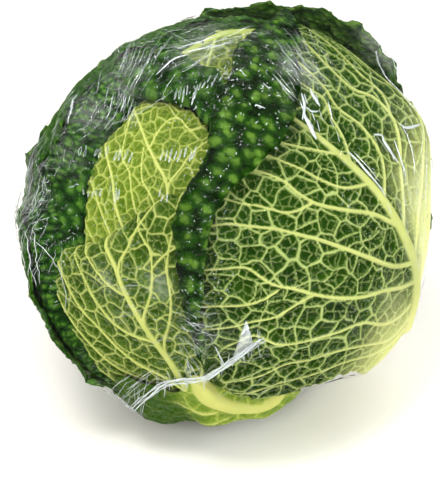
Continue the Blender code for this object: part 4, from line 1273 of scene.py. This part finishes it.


# painted glints: white ribbons on the film's wrinkles standing in for highlights, where (u0, v0)-(u1, v1), how many,
# way in degrees counter-clockwise from the right, spread of it, length, width, bow, brightness of the painted glint
PAINTED_GLINT_ZONES = [
    ((94, 80), (117, 98), 9, 58, 3, 20, 0.95, 0.3, 1.0),
    ((84, 76), (120, 106), 26, 58, 3, 18, 0.6, 0.2, 0.6),
    ((60, 92), (96, 122), 18, 52, 3, 26, 0.6, 0.3, 0.5),
    ((112, 34), (168, 74), 30, 48, 3, 36, 0.6, 0.3, 0.55),
    ((84, 182), (98, 204), 6, 86, 6, 13, 0.7, 1.0, 0.7),
    ((5, 160), (34, 246), 54, 80, 3, 26, 0.8, 0.4, 0.8),
    ((30, 250), (48, 292), 7, 86, 4, 30, 0.9, 0.8, 0.8),
    ((24, 112), (60, 168), 22, 62, 4, 24, 0.7, 0.4, 0.5),
    ((168, 18), (240, 58), 30, 14, 5, 24, 0.8, 0.5, 0.5),
    ((276, 40), (326, 96), 50, 128, 4, 26, 0.6, 0.4, 0.6),
    ((326, 60), (376, 130), 12, 126, 6, 16, 0.6, 0.8, 0.45),
    ((398, 110), (430, 250), 36, 102, 4, 36, 0.9, 0.5, 0.6),
    ((108, 272), (152, 332), 50, 6, 6, 9, 0.5, 0.4, 0.6),
    ((178, 300), (214, 348), 34, -24, 12, 13, 0.5, 1.6, 0.9),
    ((178, 345), (206, 392), 22, -62, 10, 18, 0.5, 1.2, 0.85),
    ((5, 166), (28, 236), 46, 76, 18, 8, 0.6, 0.3, 0.7),
    ((60, 216), (130, 300), 16, 40, 12, 16, 0.5, 1.0, 0.35),
    ((84, 384), (142, 412), 20, 24, 9, 20, 0.9, 1.2, 0.7),
    ((150, 330), (230, 400), 26, 36, 10, 24, 0.5, 1.0, 0.45),
    ((240, 330), (330, 408), 20, 30, 12, 20, 0.5, 1.0, 0.4),
    ((225, 50), (290, 150), 110, 70, 60, 2.4, 1.0, 0.3, 1.0),
    ((178, 150), (240, 300), 90, 70, 60, 2.2, 0.9, 0.3, 0.9),
    ((150, 62), (236, 112), 70, 70, 50, 2.6, 0.9, 0.3, 0.9),
    ((26, 146), (56, 330), 80, 80, 30, 3.0, 0.9, 0.3, 0.9),
    ((60, 150), (100, 230), 46, 76, 40, 2.6, 0.8, 0.3, 0.8),
    ((340, 130), (398, 210), 24, 122, 16, 6, 0.6, 0.3, 0.7),
    ((100, 40), (236, 60), 30, 40, 40, 3.0, 0.8, 0.3, 0.9),
]
# small closed loops of film standing in rows, painted white as glints: box, count, way, length, strength
PAINTED_GLINT_LOOPS = [
    ((58, 136), (112, 146), 9, 66, 13, 1.0), ((148, 138), (196, 158), 8, 76, 15, 1.0),
    ((168, 76), (198, 94), 6, 74, 13, 0.9), ((54, 178), (76, 196), 5, 76, 9, 0.9),
    ((90, 184), (97, 198), 2, 86, 13, 0.9), ((150, 184), (164, 200), 3, 80, 10, 0.8),
    ((196, 66), (232, 84), 8, 60, 9, 0.6),
]
# broad folds painted white as glints: points, width in mm, strength
PAINTED_GLINT_FOLDS = [
    ([(25, 231), (28, 252), (35, 287)], 0.8, 1.0), ([(28, 230), (31, 254), (37, 285)], 0.6, 1.0),
    ([(23, 240), (25, 256), (29, 268)], 0.6, 0.9), ([(255, 107), (261, 110)], 1.9, 1.0),
    ([(303, 96), (306, 105)], 1.5, 1.0), ([(316, 94), (320, 103)], 1.3, 1.0), ([(304, 108), (312, 111), (320, 109)], 1.0, 0.9),
    ([(312, 112), (315, 120)], 1.4, 1.0), ([(318, 120), (321, 130)], 1.2, 0.9), ([(298, 104), (304, 116), (314, 128)], 0.8, 0.8),
    ([(330, 98), (334, 108), (336, 118)], 0.7, 0.7), ([(384, 140), (390, 150), (394, 161)], 0.8, 0.8),
    ([(378, 136), (388, 152)], 0.7, 0.7), ([(396, 128), (402, 140), (409, 160), (412, 176)], 1.0, 0.7),
    ([(388, 204), (392, 214)], 1.3, 0.7), ([(366, 62), (378, 78), (392, 98), (404, 118)], 2.6, 0.45),
    ([(376, 56), (384, 66), (393, 79), (402, 93)], 1.9, 0.9), ([(372, 56), (380, 70), (390, 84)], 0.8, 0.6),
    ([(300, 95), (303, 108), (301, 121)], 1.2, 1.0), ([(309, 92), (316, 99), (322, 104)], 1.7, 1.0),
    ([(303, 117), (311, 128), (318, 138)], 1.9, 1.0), ([(321, 107), (325, 119)], 0.9, 0.9),
    ([(333, 116), (337, 124)], 0.9, 0.8), ([(340, 130), (343, 140)], 0.8, 0.7),
    ([(375, 134), (382, 135), (385, 143), (393, 156), (398, 163)], 1.7, 0.85),
    ([(394, 126), (400, 131), (408, 130)], 1.4, 0.85), ([(392, 141), (399, 159), (406, 177)], 1.5, 0.75),
    ([(352, 150), (364, 164), (378, 182), (387, 197)], 0.9, 0.9), ([(356, 150), (370, 166), (382, 182)], 0.5, 0.7),
    ([(262, 86), (268, 92)], 1.2, 1.0), ([(258, 108), (264, 111)], 1.2, 1.0), ([(240, 72), (244, 78)], 0.9, 0.9),
    ([(62, 120), (68, 104), (74, 92)], 1.6, 0.45), ([(180, 44), (204, 40), (232, 42)], 1.4, 0.5),
    ([(176, 40), (190, 34), (214, 30)], 1.2, 0.5), ([(150, 62), (170, 50), (186, 46)], 1.2, 0.5),
]


def px(u, v, rise=0.12):
    return on_film(at(u, v), rise)


def painted_glint_ribbons():
    rng = np.random.RandomState(7)
    verts, faces, attr = [], [], []
    for (u0, v0), (u1, v1), count, way, scatter, length, width, bow, level in PAINTED_GLINT_ZONES:
        for _ in range(count):
            cu, cv = rng.uniform(u0, u1), rng.uniform(v0, v1)
            a = math.radians(way + rng.normal(0, scatter))
            L = length * rng.uniform(0.5, 1.35)
            b = rng.normal(0, bow)
            n = max(4, int(L / 2.4))
            path = []
            for k in range(n):
                t = k / (n - 1) - 0.5
                du = math.cos(a) * t * L + math.sin(a) * b * (1 - 4 * t * t)
                dv = -math.sin(a) * t * L + math.cos(a) * b * (1 - 4 * t * t)
                path.append(px(cu + du, cv + dv))
            w = width * rng.uniform(0.35, 1.1) * 0.42
            ribbon(path, w, min(0.22, w * 0.6), verts, faces, attr, level * rng.uniform(0.55, 1.0))
    # faint painted glints over the sides and back, running with the pull
    for _ in range(220):
        d = unit(rng.normal(size=3))
        if d @ TO_CAM > 0.12 or d @ STEM > 0.86:
            continue
        way = unit(np.cross(d, np.cross(PULL + 0.25 * rng.normal(size=3), d)))
        L = rng.uniform(8, 30) / 87
        bow = np.cross(d, way) * rng.normal(0, 0.012)
        path = [on_film(unit(d + way * L * t + bow * (1 - 4 * t * t)), 0.12) for t in np.linspace(-0.5, 0.5, 9)]
        ribbon(path, rng.uniform(0.3, 0.7), 0.2, verts, faces, attr, rng.uniform(0.15, 0.5))
    for (u0, v0), (u1, v1), count, way, length, level in PAINTED_GLINT_LOOPS:
        for k in range(count):
            cu = u0 + (u1 - u0) * (k + rng.uniform(0.2, 0.8)) / count
            cv = v0 + (v1 - v0) * (0.5 + rng.uniform(-0.3, 0.3)) + (v1 - v0) * 0.2 * (1 if v1 - v0 > 20 else 0) * (k / count - 0.5)
            a = math.radians(way + rng.normal(0, 5))
            L, W = length * rng.uniform(0.65, 1.2) / 2, rng.uniform(0.45, 0.85)
            path = []
            for t in np.linspace(0.15, 2 * math.pi - 0.15, 18):
                p, o = L * math.cos(t), W * math.sin(t)
                path.append(px(cu + math.cos(a) * p + math.sin(a) * o, cv - math.sin(a) * p + math.cos(a) * o))
            ribbon(path, 0.24, 0.16, verts, faces, attr, level * rng.uniform(0.75, 1.0))
    for line, w, level in PAINTED_GLINT_FOLDS:
        ribbon([px(u, v) for u, v in fine_curve(line, 2.0)], w, 0.25, verts, faces, attr, level)
    # long thin lines where one layer of film ends on the next, painted white as glints
    for line, w, level in (
            ([(350, 150), (360, 160), (370, 173), (385, 190)], 0.5, 0.8),
            ([(215, 345), (219, 356), (225, 371)], 0.6, 0.8),
            ([(26, 236), (40, 262), (50, 292), (54, 318)], 0.5, 0.6),
            ([(160, 24), (196, 34), (236, 36), (270, 40)], 0.4, 0.4),
            ([(92, 110), (120, 96), (150, 84), (166, 78)], 0.4, 0.45)):
        c = fine_curve(line, 2.5)
        ribbon([px(u, v) for u, v in c], w, 0.2, verts, faces, attr, level)
    obj = make_mesh('film_creases', np.array(verts) * MM, np.array(faces), dict(level=attr))
    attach(obj, 'root')
    return obj


def gather():
    """The edge of the film, gathered into a rope, with a small free corner."""
    verts, faces, attr = [], [], []
    line = [(124, 410), (140, 405), (160, 399), (176, 394), (190, 389), (206, 381), (222, 372), (238, 362),
            (252, 353), (266, 344)]
    c = fine_curve(line, 1.6)
    rng = np.random.RandomState(3)
    for strand in range(6):
        path = []
        ph = strand * 1.3
        for k, (u, v) in enumerate(c):
            s = k / (len(c) - 1)
            path.append(px(u + 1.3 * math.sin(11 * s + ph) * (1 - 0.4 * s), v + 2.1 * math.cos(9 * s + ph),
                           0.25 + 0.22 * math.sin(8 * s + 2 * ph)))
        ribbon(path, 0.95 - 0.1 * strand, 0.55, verts, faces, attr, 0.95 - 0.1 * strand)
    for k in range(60):
        s = rng.uniform(0, 1)
        i = min(int(s * (len(c) - 2)), len(c) - 3)
        u, v = c[i]
        a = math.radians(rng.uniform(50, 120) + (180 if rng.rand() < 0.5 else 0))
        L = rng.uniform(5, 15)
        path = [px(u + math.cos(a) * L * t, v - math.sin(a) * L * t, 0.15) for t in np.linspace(0, 1, 6)]
        ribbon(path, 0.3, 0.16, verts, faces, attr, rng.uniform(0.3, 0.7))
    # free corner: a thin folded triangle
    corner = [(231, 366), (239, 345), (247, 324), (252, 338), (255, 352), (243, 360)]
    top = [px(u, v, 0.9 - 0.08 * k) for k, (u, v) in enumerate(corner)]
    low = [px(u, v, 0.45) for u, v in corner]
    base = len(verts)
    verts += top + low
    attr += [0.3, 0.35, 0.7, 0.6, 0.3, 0.25] + [0.2] * 6
    for k in range(1, 5):
        faces += [(base, base + k + 1, base + k), (base + 6, base + 6 + k, base + 6 + k + 1)]
    for k in range(6):
        j = (k + 1) % 6
        faces += [(base + k, base + j, base + 6 + j), (base + k, base + 6 + j, base + 6 + k)]
    obj = make_mesh('film_gather', np.array(verts) * MM, np.array(faces), dict(level=attr))
    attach(obj, 'root')
    return obj


def film_materials():
    m = Nodes('stretch_film')
    m.t.nodes.remove(m.bsdf)
    clear = m.new('ShaderNodeBsdfTransparent')
    gloss = m.new('ShaderNodeBsdfGlossy')
    gloss.inputs['Roughness'].default_value = 0.11
    gloss.inputs['Color'].default_value = (1, 1, 1, 1)
    # milky diffuse of the film: its own haze, plus painted sheen where the veils are strong
    milk = m.new('ShaderNodeBsdfDiffuse')
    milk.inputs['Color'].default_value = (0.78, 0.83, 0.74, 1)
    # fine wrinkles stretched across the pull
    rot = m.new('ShaderNodeMapping')
    rot.inputs['Rotation'].default_value = (0.2, -0.67, 0.16)
    rot.inputs['Scale'].default_value = (260, 900, 1500)
    m.link(m.coord(), rot.inputs['Vector'])
    fine = m.noise(1.0, 3, 0.6, rot.outputs[0])
    rot2 = m.new('ShaderNodeMapping')
    rot2.inputs['Rotation'].default_value = (-0.5, 0.4, 0.9)
    rot2.inputs['Scale'].default_value = (90, 420, 420)
    m.link(m.coord(), rot2.inputs['Vector'])
    wide = m.noise(1.0, 2, 0.5, rot2.outputs[0])
    b = m.bump(fine, 0.5, 0.0008, m.bump(wide, 0.7, 0.0016))
    m.link(b, gloss.inputs['Normal'])
    fres = m.new('ShaderNodeFresnel')
    fres.inputs['IOR'].default_value = 1.45
    m.link(b, fres.inputs['Normal'])
    streak = m.math('MULTIPLY', m.math('SUBTRACT', fine, 0.54), 4.0, clamp=True)
    patch = m.math('MULTIPLY', m.math('SUBTRACT', m.noise(38, 3), 0.40), 4.0, clamp=True)
    glint = m.math('MULTIPLY', streak, patch)
    shine = m.math('MULTIPLY', m.math('MULTIPLY_ADD', glint, 2.0, 0.02), m.math('MINIMUM', fres.outputs[0], 0.16))
    haze = m.math('MULTIPLY', m.attr('haze'), 0.002)
    smear = m.math('MULTIPLY_ADD', streak, 0.13, m.math('MULTIPLY', m.math('SUBTRACT', wide, 0.38, clamp=True), 0.16))
    dense = m.math('MULTIPLY', m.math('SUBTRACT', m.attr('veil'), 0.7, clamp=True), 0.055)
    haze = m.math('ADD', m.math('ADD', haze, dense), m.math('MULTIPLY', m.attr('veil'), smear))
    # glint spots add a little white diffuse as well: painted glint
    haze = m.math('ADD', haze, m.math('MULTIPLY', glint, 0.05), clamp=True)
    mix1 = m.new('ShaderNodeMixShader')
    m.link(haze, mix1.inputs[0])
    m.link(clear.outputs[0], mix1.inputs[1])
    m.link(milk.outputs[0], mix1.inputs[2])
    mix2 = m.new('ShaderNodeMixShader')
    m.link(shine, mix2.inputs[0])
    m.link(mix1.outputs[0], mix2.inputs[1])
    m.link(gloss.outputs[0], mix2.inputs[2])
    m.link(mix2.outputs[0], m.out.inputs['Surface'])
    skin = m.mat

    m = Nodes('stretch_film_inner')
    m.t.nodes.remove(m.bsdf)
    clear = m.new('ShaderNodeBsdfTransparent')
    faint = m.new('ShaderNodeBsdfDiffuse')
    faint.inputs['Color'].default_value = (0.8, 0.82, 0.8, 1)
    mx = m.new('ShaderNodeMixShader')
    m.link(m.math('MULTIPLY', m.noise(60, 2), 0.004), mx.inputs[0])
    m.link(clear.outputs[0], mx.inputs[1])
    m.link(faint.outputs[0], mx.inputs[2])
    m.link(mx.outputs[0], m.out.inputs['Surface'])
    inner = m.mat

    m = Nodes('film_crease')
    m.t.nodes.remove(m.bsdf)
    clear = m.new('ShaderNodeBsdfTransparent')
    # white diffuse on the folds is painted glint; the glossy part beside it is real reflection
    white = m.new('ShaderNodeBsdfDiffuse')
    white.inputs['Color'].default_value = (0.84, 0.94, 0.95, 1)
    gloss = m.new('ShaderNodeBsdfGlossy')
    gloss.inputs['Roughness'].default_value = 0.22
    body = m.new('ShaderNodeMixShader')
    body.inputs[0].default_value = 0.45
    m.link(white.outputs[0], body.inputs[1])
    m.link(gloss.outputs[0], body.inputs[2])
    mx = m.new('ShaderNodeMixShader')
    m.link(m.math('MULTIPLY', m.attr('level'), m.math('MULTIPLY_ADD', m.noise(300, 2), 0.7, 0.35), clamp=True), mx.inputs[0])
    m.link(clear.outputs[0], mx.inputs[1])
    m.link(body.outputs[0], mx.inputs[2])
    m.link(mx.outputs[0], m.out.inputs['Surface'])
    return skin, inner, m.mat


FILM_MATS = film_materials()
film_obj.data.materials.append(FILM_MATS[0])
film_obj.data.materials.append(FILM_MATS[1])
painted_glint_crease_obj = painted_glint_ribbons()
painted_glint_crease_obj.data.materials.append(FILM_MATS[2])
# the gathered rope and its corner share this white: partly the film's own milkiness, partly painted glint
gather_obj = gather()
gather_obj.data.materials.append(FILM_MATS[2])
print('creases', len(painted_glint_crease_obj.data.polygons), round(time.time() - T0, 1), 's')


# ------------------------------------------------------- floor, light, camera
def floor():
    s = 3.0
    obj = make_mesh('floor', np.array([(-s, -s, 0), (s, -s, 0), (s, s, 0), (-s, s, 0)]), np.array([(0, 1, 2), (0, 2, 3)]),
                    smooth_shade=False)
    m = Nodes('pale_table')
    col = m.mix(m.noise(4, 2), lin(246, 243, 238), lin(243, 239, 233))
    m.link(col, m.bsdf.inputs['Base Color'])
    m.bsdf.inputs['Roughness'].default_value = 0.75
    obj.data.materials.append(m.mat)


floor()


def area(name, loc, size, power, colour, target=(HEAD_X, HEAD_Y, 80), size_y=None):
    light = bpy.data.lights.new(name, 'AREA')
    light.energy = power
    light.color = colour
    light.size = size
    if size_y:
        light.shape = 'RECTANGLE'
        light.size_y = size_y
    obj = bpy.data.objects.new(name, light)
    obj.location = Vector(loc)
    obj.rotation_euler = (Vector(target) * MM - Vector(loc)).to_track_quat('-Z', 'Y').to_euler()
    bpy.context.collection.objects.link(obj)
    return obj


area('key', (-0.20, -0.40, 0.95), 0.34, 5.9, (1.0, 0.985, 0.95), size_y=0.26)
area('front', (0.10, -1.15, 0.75), 1.00, 7.4, (1.0, 0.99, 0.96), size_y=0.50)
area('window', (0.75, -0.45, 0.62), 0.10, 5.4, (0.94, 0.98, 1.0), size_y=0.42)
area('fill', (-0.9, -0.6, 0.45), 0.6, 3.2, (1.0, 0.99, 0.97))
area('back', (-0.15, 1.25, 0.85), 1.5, 7.0, (1.0, 1.0, 0.99), target=(0, 620, 0), size_y=0.6)
area('strip_a', (-0.34, -0.62, 0.80), 0.03, 1.6, (1.0, 1.0, 1.0), size_y=0.50)
area('strip_b', (0.26, -0.20, 1.00), 0.03, 1.6, (0.96, 0.98, 1.0), size_y=0.50)

world = bpy.data.worlds.new('studio')
bpy.context.scene.world = world
world.use_nodes = True
world.node_tree.nodes['Background'].inputs['Color'].default_value = (0.93, 0.93, 0.92, 1)
world.node_tree.nodes['Background'].inputs['Strength'].default_value = 0.42

cam = bpy.data.cameras.new('camera')
cam.lens = FOCAL / 478 * 36
cam.sensor_width = 36
cam.clip_start = 0.01
cam_obj = bpy.data.objects.new('camera', cam)
cam_obj.location = Vector(CAM_POS * MM)
look = -TO_CAM - CAM_UP * 24.0 / FOCAL - np.array([1.0, 0, 0]) / FOCAL
cam_obj.rotation_euler = Vector(look).to_track_quat('-Z', 'Y').to_euler()
bpy.context.collection.objects.link(cam_obj)
bpy.context.scene.camera = cam_obj
bpy.context.scene.view_settings.view_transform = 'Standard'

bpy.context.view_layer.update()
print('total', sum(len(o.data.polygons) for o in leaf_objects + [heart_obj, stem_obj, film_obj, painted_glint_crease_obj, gather_obj]),
      'triangles', round(time.time() - T0, 1), 's')
